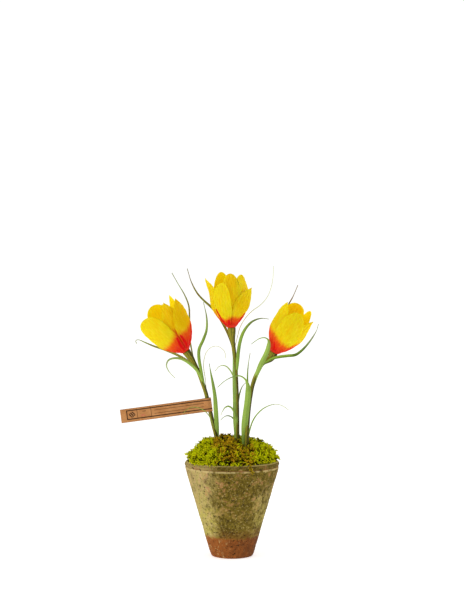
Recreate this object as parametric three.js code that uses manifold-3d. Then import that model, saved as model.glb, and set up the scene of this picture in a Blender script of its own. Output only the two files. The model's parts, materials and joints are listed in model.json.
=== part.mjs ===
// Potted crocus: three yellow flowers on leafy stems in a conical clay pot that is filled with soil
// and topped with moss, and a paper tag folded round the left stem.
// Millimetres, +Z up. The origin is the middle of the pot's flat base, and -Y is the front.

import * as THREE from "three";
import { mergeVertices } from "three/addons/utils/BufferGeometryUtils.js";
import Module from "manifold-3d";

const wasm = await Module();
wasm.setup();

// ---------------------------------------------------------------- driving dimensions

const SEAT_GAP = 0.3; // between pieces that rest on or in each other
const WELD_DISTANCE = 1e-4; // points of one solid that are closer than this become one vertex

const POT_HEIGHT = 102.3;
const POT_RIM_RADIUS = 51;
const POT_BASE_RADIUS = 22.5;
const POT_WALL_SLOPE = 0.296; // outward run of the wall per millimetre of height
const POT_BAND_HEIGHT = 5.3; // the lip band below the rim
const POT_GROOVE_DEPTH = 1.2; // under the lip band
const POT_FOOT_ROUNDING = 1.8;
const POT_BAND_ROUNDING = 0.4; // how far the band's edges draw back from its middle
const POT_RIM_ROUNDING = 1.8;
const POT_MOUTH_DEPTH = 3; // over which the rim rounds into the inner wall
const POT_WALL = 5;
const POT_FLOOR = 7;
const POT_SIDES = 48;

const SOIL_TOP = 92;
const SOIL_SIDES = 24;
const STEM_FOOT = 45; // height of the stems' lower ends, in the soil
const STEM_HOLE_RADIUS = 2.6;
const STEM_HOLE_SIDES = 12;

const MOSS_RISE = 23.3; // above the rim, at the middle
const MOSS_RADIUS = 49.4; // where the mound overhangs the rim
const MOSS_SEAT = 1.2; // height of the mound's edge above the rim
const MOSS_UNDERSIDE = 0.5; // height of its overhanging underside above the rim
const MOSS_CROWN_POWER = 2.6; // higher for a flatter top
const MOSS_SIDE_POWER = 0.75; // lower for steeper sides
const MOSS_HUB_HEIGHT = 12; // how far below the rim the point lies that the relief is raised from
const MOSS_CUSHIONS = { height: 1.7, wave: 0.48, sway: 1.3, swayWave: 0.2 };
const MOSS_TUFTS = { height: 0.9, wave: 0.8, skew: 0.33, shift: 1.9 };
const MOSS_EDGE_FADE = 9; // how steeply the relief fades out at the rim
const MOSS_STEM_CLEARANCE = 6; // radius of the parting round each stem and its leaves
const MOSS_STEM_TAPER = 1.5; // by which that parting narrows downwards
const MOSS_STEM_SIDES = 14;
const MOSS_PARTING_GAP = 0.34; // between two clumps
const MOSS_PARTING_SWAY = 1.5;
const LEFT_PARTING = { x: -22, slope: -0.23, waveLength: 9, phase: 0 };
const RIGHT_PARTING = { x: 22.5, slope: 0.12, waveLength: 8, phase: 1 };
const MOSS_BLOCK = { reach: POT_RIM_RADIUS + 5, steps: 14, foot: SOIL_TOP - 5, height: 60 };
const MOSS_RINGS = 13;
const MOSS_RING_POWER = 0.85; // under 1, to set the rings closer together at the rim
const MOSS_SPOKES = 60;

const STEM_RADIUS = 2.2;
const STEM_SPREAD_HEIGHT = 72; // the stems are upright in the soil up to here
const STEM_SIDES = 8;
const STEM_RINGS = 24;
const TUBE_RADIUS = 5; // the swollen flower tube, right under the petals
const TUBE_LENGTH = 20;
const TUBE_STRAIGHT = 7; // its last stretch follows the flower's axis

const LEAF_THICKNESS = 0.65;
const LEAF_TIP_WIDTH = 0.9;
const LEAF_STEP = 7.5; // length of a blade between two sections
const LEAF_LEAST_SECTIONS = 8;
const LEAF_FULL_FROM = 0.3; // share of the length where a blade is widest
const LEAF_ROOT_WIDTH = 0.55; // share of the full width
const LEAF_TAPER_POWER = 2.2;
const LEAF_FOLD = 0.3; // depth of the fold along the midrib, as a share of half the width
const LEAF_FOLD_LEAST_WIDTH = 2.5; // narrower blades are flat

const PETAL_THICKNESS = 0.7;
const PETAL_TIP_WIDTH = 0.8;
const PETAL_SPLITS = 4; // across a petal
const PETAL_STATIONS = [0, 0.11, 0.26, 0.44, 0.62, 0.79, 0.92, 1]; // along a petal
const PETAL_FOOT = { radius: 3.4, height: 0.6 }; // of the midline, in the flower's cup
const PETAL_FLANK = { radius: 9, height: 5, swell: 0.5 }; // swell: share of the belly added here
const PETAL_BOWL = { radius: 15, height: 13, swell: 0.8 };
const PETAL_WAIST = { radius: 19.3, height: 24 };
const PETAL_SHOULDER = 0.73; // share of the height
const PETAL_SHOULDER_BULGE = { round: 1.6, blunt: 1.6, point: 0.2 };
const PETAL_ROOT_WIDTH = 0.3; // share of the full width
const PETAL_FULL_FROM = 0.52; // share of the length where a petal reaches its full width
const PETAL_CLOSING_POWER = { round: 2.4, blunt: 4.5, point: 2.1 };
const PETAL_RANK_EASE = 0.25; // share of the length over which a petal leaves the cup
const PETAL_EARLY_LEAN = 0.7; // power of the lean along a petal, unless the petal names another

// The solid base that a flower's petals grow from, as radii and heights.
const CUP_PROFILE = [[0, 0], [4.2, 0], [6, 1.4], [8.2, 4.4], [7.4, 5], [0, 5]];
const CUP_HEIGHT = 5;
const CUP_SIDES = 14;

const STAMEN_DISC = { radius: 3, top: 2.4, height: 1.4, sides: 12 };
const STAMEN_ROD_SIDES = 6;
const STYLE = { foot: 0.5, height: 25, radii: [0.6, 0.55] };
const FILAMENT = { foot: 0.5, height: 13, from: 1.7, to: 3.6, radii: [0.55, 0.5] };
const ANTHER = { foot: 12.3, height: 24, from: 3.5, to: 4.8, radii: [1.2, 0.7] };
const STYLE_BRANCH = { foot: 24.4, height: 29, to: 3, turn: 1, radii: [0.55, 0.9] };

const TAG_LENGTH = 99.8;
const TAG_WIDTH = 14.8;
const TAG_THICKNESS = 0.9; // two layers of card, glued face to face
const TAG_RISE = 7.7; // degrees, to the right
const TAG_LOOP_RADIUS = 3.7; // inside the fold
const TAG_LOOP_SEGMENTS = 16;
const TAG_PLACE = [-26, 8, 161.6]; // the stem's middle, at the middle of the tag's width

// Hills and dips of the mound: place, half widths across and along, and height.
const MOSS_HILLS = [
  { x: -29, y: -6, halfX: 8, halfY: 16, height: 2 },
  { x: -42.5, y: 0, halfX: 5, halfY: 26, height: -3.5 },
  { x: -20.5, y: -4, halfX: 3.2, halfY: 24, height: -2.4 },
  { x: -11, y: -4, halfX: 7, halfY: 16, height: 1.8 },
  { x: 4.5, y: -12, halfX: 5.5, halfY: 13, height: -4.5 },
  { x: 14.6, y: -21, halfX: 5, halfY: 17, height: -13.5 },
  { x: 25, y: -6, halfX: 6, halfY: 20, height: -2.5 },
  { x: 33, y: -8, halfX: 5.5, halfY: 14, height: 1.6 },
];

// Routes are lists of points chosen by hand, from the root to the tip.
const LEFT_STEM = [[-15.6, 8, 100], [-15.8, 8, 114], [-17.4, 8, 128], [-20.6, 8, 141], [-25.4, 8, 162],
  [-28.3, 8, 174], [-33, 7.5, 188], [-38.5, 7, 202], [-44, 6, 211.6]];
const CENTRE_STEM = [[5.6, 0, 100], [5.5, 0, 123], [5.3, 0, 141], [4.9, 0, 162], [4.3, 0, 184],
  [3.5, 0, 205], [2.1, 0, 221]];
const RIGHT_STEM = [[14.6, -8, 100], [15.6, -8, 117], [16.4, -8, 136], [17.7, -8, 155], [20, -8, 173],
  [23, -8, 187], [27.4, -8, 198], [33, -7.5, 207]];

// A petal's azimuth turns from the flower's right (0) to its back (90); height and tip radius are
// measured along and from the flower's axis. Belly widens the petal's middle, flare draws it in
// below the tip, slant leans the tip round the flower by degrees, and rank sets it further out.
const LEFT_BLOOM = {
  base: [-49.9, 5, 220], leanRight: -35, leanFront: 7,
  petals: [
    { azimuth: 195, height: 46, tipRadius: 20, halfWidth: 12, tip: "round", belly: 1.5, rank: -0.6 },
    { azimuth: 246, height: 56, tipRadius: 19, halfWidth: 14.3, tip: "blunt", belly: 1.5, slant: -11,
      rank: 0.5 },
    { azimuth: 315, height: 55.5, tipRadius: 20, halfWidth: 13, tip: "point", belly: 0.5, slant: 13,
      lateLean: 1.1, rank: 0.8 },
    { azimuth: 283, height: 59, tipRadius: 14, halfWidth: 13.5, tip: "point", belly: -1, slant: 8,
      rank: -0.8 },
    { azimuth: 30, height: 59.5, tipRadius: 22.5, halfWidth: 14, tip: "point", belly: -0.5, rank: 0.3 },
    { azimuth: 68, height: 55, tipRadius: 19, halfWidth: 13, tip: "point", belly: 0.5, rank: -0.6 },
    { azimuth: 102, height: 60, tipRadius: 16, halfWidth: 13.5, tip: "blunt", belly: -0.5, rank: -0.6 },
  ],
};
const CENTRE_BLOOM = {
  base: [-0.5, 0, 245.8], leanRight: -3.6, leanFront: 4,
  petals: [
    { azimuth: 208, height: 56, tipRadius: 21.5, halfWidth: 11.5, tip: "point", belly: -0.5,
      slant: -13.5, flare: 1.5, rank: -0.3 },
    { azimuth: 240, height: 49.5, tipRadius: 18, halfWidth: 11, tip: "round", belly: -0.5, slant: 3,
      rank: 0.8 },
    { azimuth: 304, height: 45, tipRadius: 18, halfWidth: 10, tip: "point", belly: -1, slant: 22,
      lateLean: 2, rank: 1 },
    { azimuth: 279, height: 59, tipRadius: 13.5, halfWidth: 12.5, tip: "round", belly: -1.5,
      rank: -0.8 },
    { azimuth: 319, height: 57, tipRadius: 15.5, halfWidth: 12.5, tip: "round", belly: -1.5, slant: 4,
      rank: -1.5 },
    { azimuth: 34, height: 54, tipRadius: 16, halfWidth: 12.5, tip: "round", belly: -0.5 },
    { azimuth: 84, height: 55, tipRadius: 16, halfWidth: 12.5, tip: "round", belly: 0.5, rank: -0.5 },
    { azimuth: 122, height: 60, tipRadius: 15, halfWidth: 12, tip: "round", belly: -0.5, rank: -0.5 },
  ],
};
const RIGHT_BLOOM = {
  base: [45.2, -6, 219.1], leanRight: 28, leanFront: 6,
  petals: [
    { azimuth: 225, height: 55.5, tipRadius: 15, halfWidth: 12, tip: "point", belly: -2.5, slant: -3 },
    { azimuth: 275, height: 51, tipRadius: 16.5, halfWidth: 13.2, tip: "round", belly: 0, slant: 2.5,
      rank: 0.8 },
    { azimuth: 318, height: 50.5, tipRadius: 18, halfWidth: 10.5, tip: "point", belly: -1, slant: 13,
      lateLean: 1.8, rank: 0.6 },
    { azimuth: 30, height: 57, tipRadius: 14.5, halfWidth: 13, tip: "round", belly: -1.5 },
    { azimuth: 92, height: 57.5, tipRadius: 14, halfWidth: 12.5, tip: "blunt", belly: 0.5, rank: -0.5 },
    { azimuth: 150, height: 49, tipRadius: 12, halfWidth: 11.5, tip: "round", belly: -2.5, rank: -0.8 },
  ],
};

const LEFT_LEAVES = [
  { width: 3.6, route: [[-29.8, 7, 181], [-33, 4, 197], [-35.7, 2, 212], [-35.5, 1, 222],
    [-31, 1, 232.5], [-27.5, 2, 243], [-27.5, 3, 257], [-31, 5, 273]] },
  { width: 3, route: [[-28, 7, 174], [-32.5, 5, 188.5], [-38, 3, 199], [-46.5, 2, 207],
    [-54.5, 1, 211.5], [-62, 0, 212.5], [-68.3, 0, 210.5], [-70.8, 0, 205], [-68, 0, 198],
    [-61.5, 0, 191]] },
  { width: 1.6, route: [[-38, 7.5, 202], [-47, 17, 208], [-59, 22, 214.5], [-73, 21, 220.5],
    [-86, 18, 225], [-95, 15, 229], [-102, 12, 232], [-105, 12, 231], [-103.5, 12, 227.5]] },
  { width: 1.9, route: [[-39, 7.5, 204], [-40.5, 15, 216], [-43.5, 21, 235], [-45, 22, 253],
    [-47, 21, 269], [-52, 20, 281], [-59, 18, 293], [-65.7, 16, 305]] },
  { width: 1, route: [[-27.6, 8.5, 175], [-29, 12, 189], [-31, 14, 204], [-29, 15, 216],
    [-24.3, 15, 222.5], [-18, 15, 225], [-12, 15, 223], [-8, 15, 218.5], [-7, 15, 211.5]] },
  { width: 4.3, route: [[-16.2, 8, 116], [-15.6, 6.5, 130], [-16.2, 5, 145], [-16.6, 4.5, 158],
    [-17.6, 4.5, 171], [-20, 5, 183], [-22.7, 5, 195], [-24.7, 5, 206.5]] },
  { width: 1.6, route: [[-18.5, 7.5, 133], [-21.6, 2, 144], [-25.2, -1.5, 151], [-30.4, -3, 156.5],
    [-36.6, -4, 159.3], [-42.6, -4, 160], [-48.2, -4, 157.5], [-52.2, -4, 153.5]] },
];
const CENTRE_LEAVES = [
  { width: 2.1, route: [[2.4, 0.5, 215], [0, 3, 226], [-3.3, 6.5, 236], [-7, 10, 244.3],
    [-11.8, 12.5, 253], [-17.5, 14, 261.5], [-23.5, 14, 268.3], [-30.5, 13, 274.6], [-37.6, 12, 282.4],
    [-44, 11, 294.3], [-48.7, 9, 309.5]] },
  { width: 3.9, route: [[4.3, -0.5, 189], [5.6, -2.5, 204], [6.8, -3.5, 219], [8.7, -3.5, 230.5],
    [11.7, -3, 239.5], [16.2, -2, 246.7], [21.4, 0, 251.7], [27.3, 3, 254.5], [33.6, 6, 255.5],
    [40, 9, 254.5]] },
  { width: 0.9, route: [[2.7, 0.5, 222.5], [5.6, 6, 234], [9, 10, 246], [15, 13, 256],
    [22.5, 13.5, 263.7], [30.5, 13, 269.5], [37.4, 12, 277], [42, 11, 287], [44.5, 10, 299],
    [45, 9, 312]] },
  { width: 1.5, route: [[3.9, 0.5, 185.5], [0.4, 3, 195], [-3, 5, 200.5], [-6.5, 6, 203.5],
    [-11, 7, 204.3], [-15, 8, 202.3], [-18.2, 8, 198]] },
  { width: 4.7, route: [[5.4, -0.8, 114], [4.6, -2, 133], [4.2, -2.4, 154], [3.6, -2.3, 173],
    [2.6, -2.2, 191], [1.5, -2, 208], [0.8, -1.7, 220]] },
  { width: 2, route: [[4.3, -1.8, 146], [2.6, -3, 153.5], [-0.2, -4, 158.8], [-4.1, -4.5, 161],
    [-7.5, -5, 159.5], [-10, -5, 156], [-12.2, -5, 151]] },
  { width: 1.4, route: [[4.8, -0.5, 138], [1.9, -0.5, 146.5], [-1.6, -1, 149.8], [-5.6, -1, 150.4],
    [-9.3, -1, 148.7], [-12.5, 0, 145.3]] },
  { width: 1.7, route: [[5, 0, 152], [6.7, 0, 165], [8.6, 0.5, 175.5], [11, 2, 181.5], [14.6, 4, 185.5],
    [18, 6, 187.5]] },
];
const RIGHT_LEAVES = [
  { width: 5.6, route: [[15, -8.5, 110], [14, -10.5, 127], [13.8, -12, 143], [15.5, -12.5, 158.5],
    [17, -13, 172.5], [17, -14, 183.5], [14.2, -15.5, 190.5], [8, -17, 194.4], [0, -17.5, 193],
    [-8, -17, 188.7], [-15.4, -15, 182]] },
  { width: 5.2, route: [[23.2, -8.5, 185], [27, -11, 197], [31.5, -13, 207.5], [36, -15, 217],
    [38.8, -17.5, 225.6], [39, -18.5, 232], [36, -17.5, 234.8], [30.5, -14.5, 234.5],
    [25, -11.5, 231.3], [20.8, -9.5, 228]] },
  { width: 2.4, route: [[31.7, -8, 204.5], [37, -10, 209], [43.4, -11.5, 212.6], [51.4, -12.5, 214.6],
    [60, -12, 215.6], [68, -11, 216.6], [75, -10, 221.4], [82, -9, 229], [87.4, -8, 236.5],
    [91, -7, 243], [93, -6, 249.5]] },
  { width: 1.5, route: [[31.7, -7, 205.5], [36, 4, 212], [42, 14, 221.5], [49, 19.5, 236],
    [55.5, 21.5, 253.5], [61.3, 20.5, 269], [66.7, 19, 279], [72, 17, 291.5]] },
  { width: 1.9, route: [[18, -7.5, 158], [17.2, -5, 176], [16.7, -4, 193], [17.6, -3.5, 206],
    [19.6, -3, 218.5]] },
  { width: 1.5, route: [[15.6, -8, 113], [17.3, -8.5, 127], [19.5, -9, 137.5], [22.3, -8.5, 145.5],
    [26.7, -8, 152.3], [32.7, -7, 158], [40, -6, 161.8], [48, -5, 163.2], [55, -4, 161],
    [61, -3, 156.7]] },
];

const COLOURS = {
  clay: 0x7d6632,
  soil: 0x3a2a1c,
  mossGreen: 0xa0aa12,
  mossBrown: 0x8c5e16,
  leaf: 0x7f9f4a,
  petal: 0xebd018,
  stamen: 0xe08a10,
  card: 0xcd9155,
};

// ---------------------------------------------------------------- solids and meshes

// A manifold solid of a closed geometry, with its faces turned outwards.
function solidOf(geometry) {
  const bare = geometry.clone();
  bare.deleteAttribute("normal");
  bare.deleteAttribute("uv");
  const merged = mergeVertices(bare, WELD_DISTANCE);
  const corners = Array.from(merged.index.array);
  const place = merged.attributes.position;
  const [a, b, c] = [new THREE.Vector3(), new THREE.Vector3(), new THREE.Vector3()];
  let volume = 0;
  for (let i = 0; i < corners.length; i += 3) {
    a.fromBufferAttribute(place, corners[i]);
    b.fromBufferAttribute(place, corners[i + 1]);
    c.fromBufferAttribute(place, corners[i + 2]);
    volume += a.dot(b.cross(c));
  }
  if (volume < 0) corners.reverse();
  return new wasm.Manifold(
    new wasm.Mesh({ numProp: 3, vertProperties: place.array, triVerts: Uint32Array.from(corners) }),
  );
}

function union(solids) {
  return solids.reduce((sum, solid) => sum.add(solid));
}

// The same solid with its sealed cavities filled: the shell of a cavity has a negative volume.
function withoutCavities(solid) {
  return union(solid.decompose().filter((shell) => shell.volume() > 0));
}

function geometryOf(solid) {
  const mesh = solid.getMesh();
  const places = new Float32Array(mesh.numVert * 3);
  for (let i = 0; i < mesh.numVert; i++) {
    places.set(mesh.vertProperties.subarray(i * mesh.numProp, i * mesh.numProp + 3), i * 3);
  }
  const geometry = new THREE.BufferGeometry();
  geometry.setAttribute("position", new THREE.BufferAttribute(places, 3));
  geometry.setIndex(new THREE.BufferAttribute(Uint32Array.from(mesh.triVerts), 1));
  geometry.computeVertexNormals();
  return geometry;
}

function meshOf(name, solid, color, roughness) {
  const material = new THREE.MeshStandardMaterial({ color, roughness, metalness: 0 });
  const mesh = new THREE.Mesh(geometryOf(solid), material);
  mesh.name = name;
  return mesh;
}

// A closed body through rings of equally many points. The second half of a ring's sides runs back
// under the first, so its squares are split the same way as those above them, and an end is closed
// by a strip between the two halves.
function loft(rings) {
  const sides = rings[0].length;
  const half = sides / 2;
  const corners = [];
  for (let i = 0; i + 1 < rings.length; i++) {
    for (let k = 0; k < sides; k++) {
      const [a, b] = [i * sides + k, i * sides + ((k + 1) % sides)];
      const [c, d] = [b + sides, a + sides];
      corners.push(...(k < half ? [a, b, c, a, c, d] : [a, b, d, b, c, d]));
    }
  }
  const last = (rings.length - 1) * sides;
  for (let k = 0; k + 1 < half; k++) {
    const [a, b, c, d] = [k, k + 1, sides - 2 - k, sides - 1 - k];
    corners.push(a, c, b, a, d, c);
    corners.push(last + a, last + b, last + c, last + a, last + c, last + d);
  }
  const geometry = new THREE.BufferGeometry().setFromPoints(rings.flat());
  geometry.setIndex(corners);
  return solidOf(geometry);
}

// A body turned round +Z from [radius, height] points, which start and end on the axis.
function turned(profile, sides) {
  const lathe = new THREE.LatheGeometry(profile.map(([r, z]) => new THREE.Vector2(r, z)), sides);
  return solidOf(lathe.rotateX(Math.PI / 2));
}

function vectors(route) {
  return route.map((point) => new THREE.Vector3(...point));
}

function clamp01(value) {
  return Math.min(1, Math.max(0, value));
}

function smooth(value) {
  const t = clamp01(value);
  return t * t * (3 - 2 * t);
}

// ---------------------------------------------------------------- pot and soil

function potWallRadius(z) {
  return POT_BASE_RADIUS + POT_WALL_SLOPE * z;
}

function potInnerRadius(z) {
  return potWallRadius(z) - POT_WALL;
}

function makePot() {
  const bandFoot = POT_HEIGHT - POT_BAND_HEIGHT;
  const bandEdge = POT_RIM_RADIUS - POT_BAND_ROUNDING;
  const innerRim = potInnerRadius(POT_HEIGHT - POT_MOUTH_DEPTH);
  const profile = [
    [0, 0],
    [POT_BASE_RADIUS - POT_FOOT_ROUNDING, 0],
    [potWallRadius(0) - POT_FOOT_ROUNDING / 3, POT_FOOT_ROUNDING / 3],
    [potWallRadius(POT_FOOT_ROUNDING), POT_FOOT_ROUNDING],
    [potWallRadius(bandFoot - POT_MOUTH_DEPTH), bandFoot - POT_MOUTH_DEPTH],
    [potWallRadius(bandFoot) - POT_GROOVE_DEPTH, bandFoot - POT_BAND_ROUNDING],
    [bandEdge, bandFoot + POT_GROOVE_DEPTH],
    [POT_RIM_RADIUS, bandFoot + POT_BAND_HEIGHT / 2],
    [bandEdge, POT_HEIGHT - POT_RIM_ROUNDING],
    [POT_RIM_RADIUS - POT_RIM_ROUNDING, POT_HEIGHT],
    [innerRim + POT_RIM_ROUNDING, POT_HEIGHT],
    [innerRim, POT_HEIGHT - POT_MOUTH_DEPTH],
    [potInnerRadius(POT_FLOOR), POT_FLOOR],
    [0, POT_FLOOR],
  ];
  return turned(profile, POT_SIDES);
}

function stemHole(route) {
  const [x, y] = route[0];
  const depth = POT_HEIGHT - STEM_FOOT;
  const hole = new THREE.CylinderGeometry(STEM_HOLE_RADIUS, STEM_HOLE_RADIUS, depth, STEM_HOLE_SIDES);
  hole.rotateX(Math.PI / 2);
  hole.translate(x, y, STEM_FOOT - SEAT_GAP + depth / 2);
  return solidOf(hole);
}

function makeSoil() {
  const foot = POT_FLOOR + SEAT_GAP;
  const filling = turned(
    [
      [0, foot],
      [potInnerRadius(foot) - 2 * SEAT_GAP, foot],
      [potInnerRadius(SOIL_TOP) - 2 * SEAT_GAP, SOIL_TOP],
      [0, SOIL_TOP],
    ],
    SOIL_SIDES,
  );
  return [LEFT_STEM, CENTRE_STEM, RIGHT_STEM].reduce((soil, stem) => soil.subtract(stemHole(stem)), filling);
}

// ---------------------------------------------------------------- moss

// How far the moss stands out of its plain dome: cushions with smaller tufts on them, fading out at
// the rim.
function mossRelief(x, y, share) {
  const { wave, sway, swayWave } = MOSS_CUSHIONS;
  const cushions = Math.sin(wave * x + sway * Math.sin(swayWave * y))
    * Math.cos(wave * y + sway * Math.sin(swayWave * x));
  const tufts = Math.sin(MOSS_TUFTS.wave * x - MOSS_TUFTS.skew * y)
    * Math.sin(MOSS_TUFTS.wave * y + MOSS_TUFTS.skew * x + MOSS_TUFTS.shift);
  const fade = smooth((1 - share) * MOSS_EDGE_FADE);
  return (MOSS_CUSHIONS.height * cushions + MOSS_TUFTS.height * tufts) * fade;
}

// Height of the hills and dips at a place, fading out at the rim.
function mossSwell(x, y, share) {
  const heights = MOSS_HILLS.map((hill) => {
    const [across, along] = [(x - hill.x) / hill.halfX, (y - hill.y) / hill.halfY];
    return hill.height * Math.exp(-Math.pow(across, 2) - Math.pow(along, 4));
  });
  return heights.reduce((sum, height) => sum + height) * clamp01((1 - share) * MOSS_EDGE_FADE);
}

// A point of the mound's top: a flat-topped dome over the rim, its relief raised outwards.
function mossPoint(radius, angle) {
  const share = radius / (MOSS_RADIUS + 1);
  const dome = MOSS_RISE * Math.pow(1 - Math.pow(share, MOSS_CROWN_POWER), MOSS_SIDE_POWER);
  const [x, y] = [radius * Math.cos(angle), radius * Math.sin(angle)];
  const outward = new THREE.Vector3(x, y, dome + MOSS_HUB_HEIGHT);
  return new THREE.Vector3(x, y, POT_HEIGHT + MOSS_SEAT + dome + mossSwell(x, y, share))
    .addScaledVector(outward.normalize(), mossRelief(x, y, share));
}

// The whole mound: it fills the mouth of the pot down to the soil, and laps over the rim.
function makeMound() {
  const throat = potInnerRadius(POT_HEIGHT - POT_MOUTH_DEPTH) - SEAT_GAP;
  const plainRing = (radius, z) => (angle) =>
    new THREE.Vector3(radius * Math.cos(angle), radius * Math.sin(angle), z);
  const rings = [
    plainRing(potInnerRadius(SOIL_TOP) - 2 * SEAT_GAP, SOIL_TOP + SEAT_GAP),
    plainRing(throat, POT_HEIGHT - POT_RIM_ROUNDING),
    plainRing(throat, POT_HEIGHT + MOSS_UNDERSIDE),
    plainRing(MOSS_RADIUS, POT_HEIGHT + MOSS_UNDERSIDE),
  ];
  for (let i = 0; i < MOSS_RINGS; i++) {
    const radius = MOSS_RADIUS * Math.pow(1 - i / MOSS_RINGS, MOSS_RING_POWER);
    rings.push((angle) => mossPoint(radius, angle));
  }
  const points = [new THREE.Vector3(0, 0, SOIL_TOP + SEAT_GAP)];
  for (const ring of rings) {
    for (let k = 0; k < MOSS_SPOKES; k++) points.push(ring((2 * Math.PI * k) / MOSS_SPOKES));
  }
  points.push(mossPoint(0, 0));
  const corners = [];
  const crown = points.length - 1;
  for (let k = 0; k < MOSS_SPOKES; k++) {
    const next = (k + 1) % MOSS_SPOKES;
    corners.push(0, 1 + next, 1 + k);
    corners.push(crown, crown - MOSS_SPOKES + k, crown - MOSS_SPOKES + next);
    for (let i = 0; i + 1 < rings.length; i++) {
      const [a, b] = [1 + i * MOSS_SPOKES + k, 1 + i * MOSS_SPOKES + next];
      corners.push(a, b, b + MOSS_SPOKES, a, b + MOSS_SPOKES, a + MOSS_SPOKES);
    }
  }
  const geometry = new THREE.BufferGeometry().setFromPoints(points);
  geometry.setIndex(corners);
  return solidOf(geometry);
}

// Where two clumps part: gives x for a given y.
function parting({ x, slope, waveLength, phase }, y) {
  return x + slope * y + MOSS_PARTING_SWAY * Math.sin(y / waveLength + phase);
}

// An upright block between two partings, wide enough to hold one clump.
function clumpBlock(leftEdge, rightEdge) {
  const { reach, steps, foot, height } = MOSS_BLOCK;
  const rows = Array.from({ length: steps + 1 }, (_, i) => -reach + (2 * reach * i) / steps);
  const outline = rows.map((y) => new THREE.Vector2(rightEdge(y), y));
  outline.push(...rows.reverse().map((y) => new THREE.Vector2(leftEdge(y), y)));
  const block = new THREE.ExtrudeGeometry(new THREE.Shape(outline), { depth: height, bevelEnabled: false });
  return solidOf(block.translate(0, 0, foot));
}

// The room that the moss leaves round a stem and the feet of its leaves.
function stemParting(route) {
  const [x, y] = route[1];
  const { foot, height } = MOSS_BLOCK;
  const hole = new THREE.CylinderGeometry(
    MOSS_STEM_CLEARANCE, MOSS_STEM_CLEARANCE - MOSS_STEM_TAPER, height, MOSS_STEM_SIDES,
  );
  hole.rotateX(Math.PI / 2);
  hole.translate(x, y, foot + height / 2);
  return solidOf(hole);
}

function makeMoss() {
  const mound = makeMound();
  const holes = union([LEFT_STEM, CENTRE_STEM, RIGHT_STEM].map(stemParting));
  const halfGap = MOSS_PARTING_GAP / 2;
  const { reach } = MOSS_BLOCK;
  const leftParting = (y) => parting(LEFT_PARTING, y);
  const rightParting = (y) => parting(RIGHT_PARTING, y);
  const left = mound.intersect(clumpBlock(() => -reach, (y) => leftParting(y) - halfGap));
  const centre = mound.intersect(
    clumpBlock((y) => leftParting(y) + halfGap, (y) => rightParting(y) - halfGap),
  );
  const right = mound.intersect(clumpBlock((y) => rightParting(y) + halfGap, () => reach));
  return { left, centre: centre.subtract(holes), right };
}

// ---------------------------------------------------------------- stems and leaves

// Sections along a route: place, direction, the way across the blade, and its face.
function frames(route, count) {
  const curve = new THREE.CatmullRomCurve3(vectors(route), false, "centripetal");
  const front = new THREE.Vector3(0, -1, 0);
  return Array.from({ length: count }, (_, i) => {
    const share = i / (count - 1);
    const along = curve.getTangentAt(share);
    const across = along.clone().cross(front).normalize();
    return { share, place: curve.getPointAt(share), across, face: across.clone().cross(along) };
  });
}

function leafWidth(share, width) {
  const root = LEAF_ROOT_WIDTH + (1 - LEAF_ROOT_WIDTH) * smooth(share / LEAF_FULL_FROM);
  const upper = clamp01((share - LEAF_FULL_FROM) / (1 - LEAF_FULL_FROM));
  return Math.max(LEAF_TIP_WIDTH, width * root * (1 - Math.pow(upper, LEAF_TAPER_POWER)));
}

// A grass-like blade; a broad one is folded a little along its midrib.
function makeLeaf({ route, width }) {
  const length = new THREE.CatmullRomCurve3(vectors(route), false, "centripetal").getLength();
  const count = Math.max(LEAF_LEAST_SECTIONS, Math.round(length / LEAF_STEP));
  const folded = width > LEAF_FOLD_LEAST_WIDTH;
  const rings = frames(route, count).map(({ share, place, across, face }) => {
    const half = leafWidth(share, width) / 2;
    const row = folded ? [-1, 0, 1] : [-1, 1];
    const point = (side, lift) =>
      place.clone()
        .addScaledVector(across, side * half)
        .addScaledVector(face, lift - (side ? 0 : LEAF_FOLD * half));
    const top = row.map((side) => point(side, LEAF_THICKNESS / 2));
    const under = row.reverse().map((side) => point(side, -LEAF_THICKNESS / 2));
    return [...top, ...under];
  });
  return loft(rings);
}

function bloomFrame({ base, leanRight, leanFront }) {
  const turn = new THREE.Euler(
    THREE.MathUtils.degToRad(leanFront), THREE.MathUtils.degToRad(leanRight), 0, "YXZ",
  );
  return new THREE.Matrix4().makeRotationFromEuler(turn).setPosition(new THREE.Vector3(...base));
}

function stemRadius(lengthLeft) {
  return STEM_RADIUS + (TUBE_RADIUS - STEM_RADIUS) * smooth(1 - lengthLeft / TUBE_LENGTH);
}

// A stem from its foot in the soil to the flat top that the flower sits on.
function makeStem(route, bloom) {
  const frame = bloomFrame(bloom);
  const topPoints = [-TUBE_STRAIGHT, -SEAT_GAP].map(
    (z) => new THREE.Vector3(0, 0, z).applyMatrix4(frame).toArray(),
  );
  const [x, y] = route[0];
  const whole = [[x, y, STEM_FOOT], [x, y, STEM_SPREAD_HEIGHT], ...route, ...topPoints];
  const curve = new THREE.CatmullRomCurve3(vectors(whole), false, "centripetal");
  const length = curve.getLength();
  const rings = frames(whole, STEM_RINGS).map(({ share, place, across, face }, i, all) => {
    const radius = stemRadius((1 - share) * length);
    const axes = i === all.length - 1 ? topAxes(frame) : { across, face };
    return Array.from({ length: STEM_SIDES }, (_, k) => {
      const angle = (2 * Math.PI * (k + 0.5)) / STEM_SIDES;
      return place.clone()
        .addScaledVector(axes.across, radius * Math.cos(angle))
        .addScaledVector(axes.face, radius * Math.sin(angle));
    });
  });
  return loft(rings);
}

// The flower tube ends square to the flower's own axis.
function topAxes(frame) {
  const [across, back] = [new THREE.Vector3(), new THREE.Vector3()];
  frame.extractBasis(across, back, new THREE.Vector3());
  return { across, face: back.negate() };
}

function makeLeafyStem(route, bloom, leaves) {
  return union([makeStem(route, bloom), ...leaves.map(makeLeaf)]);
}

// ---------------------------------------------------------------- flowers

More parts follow.
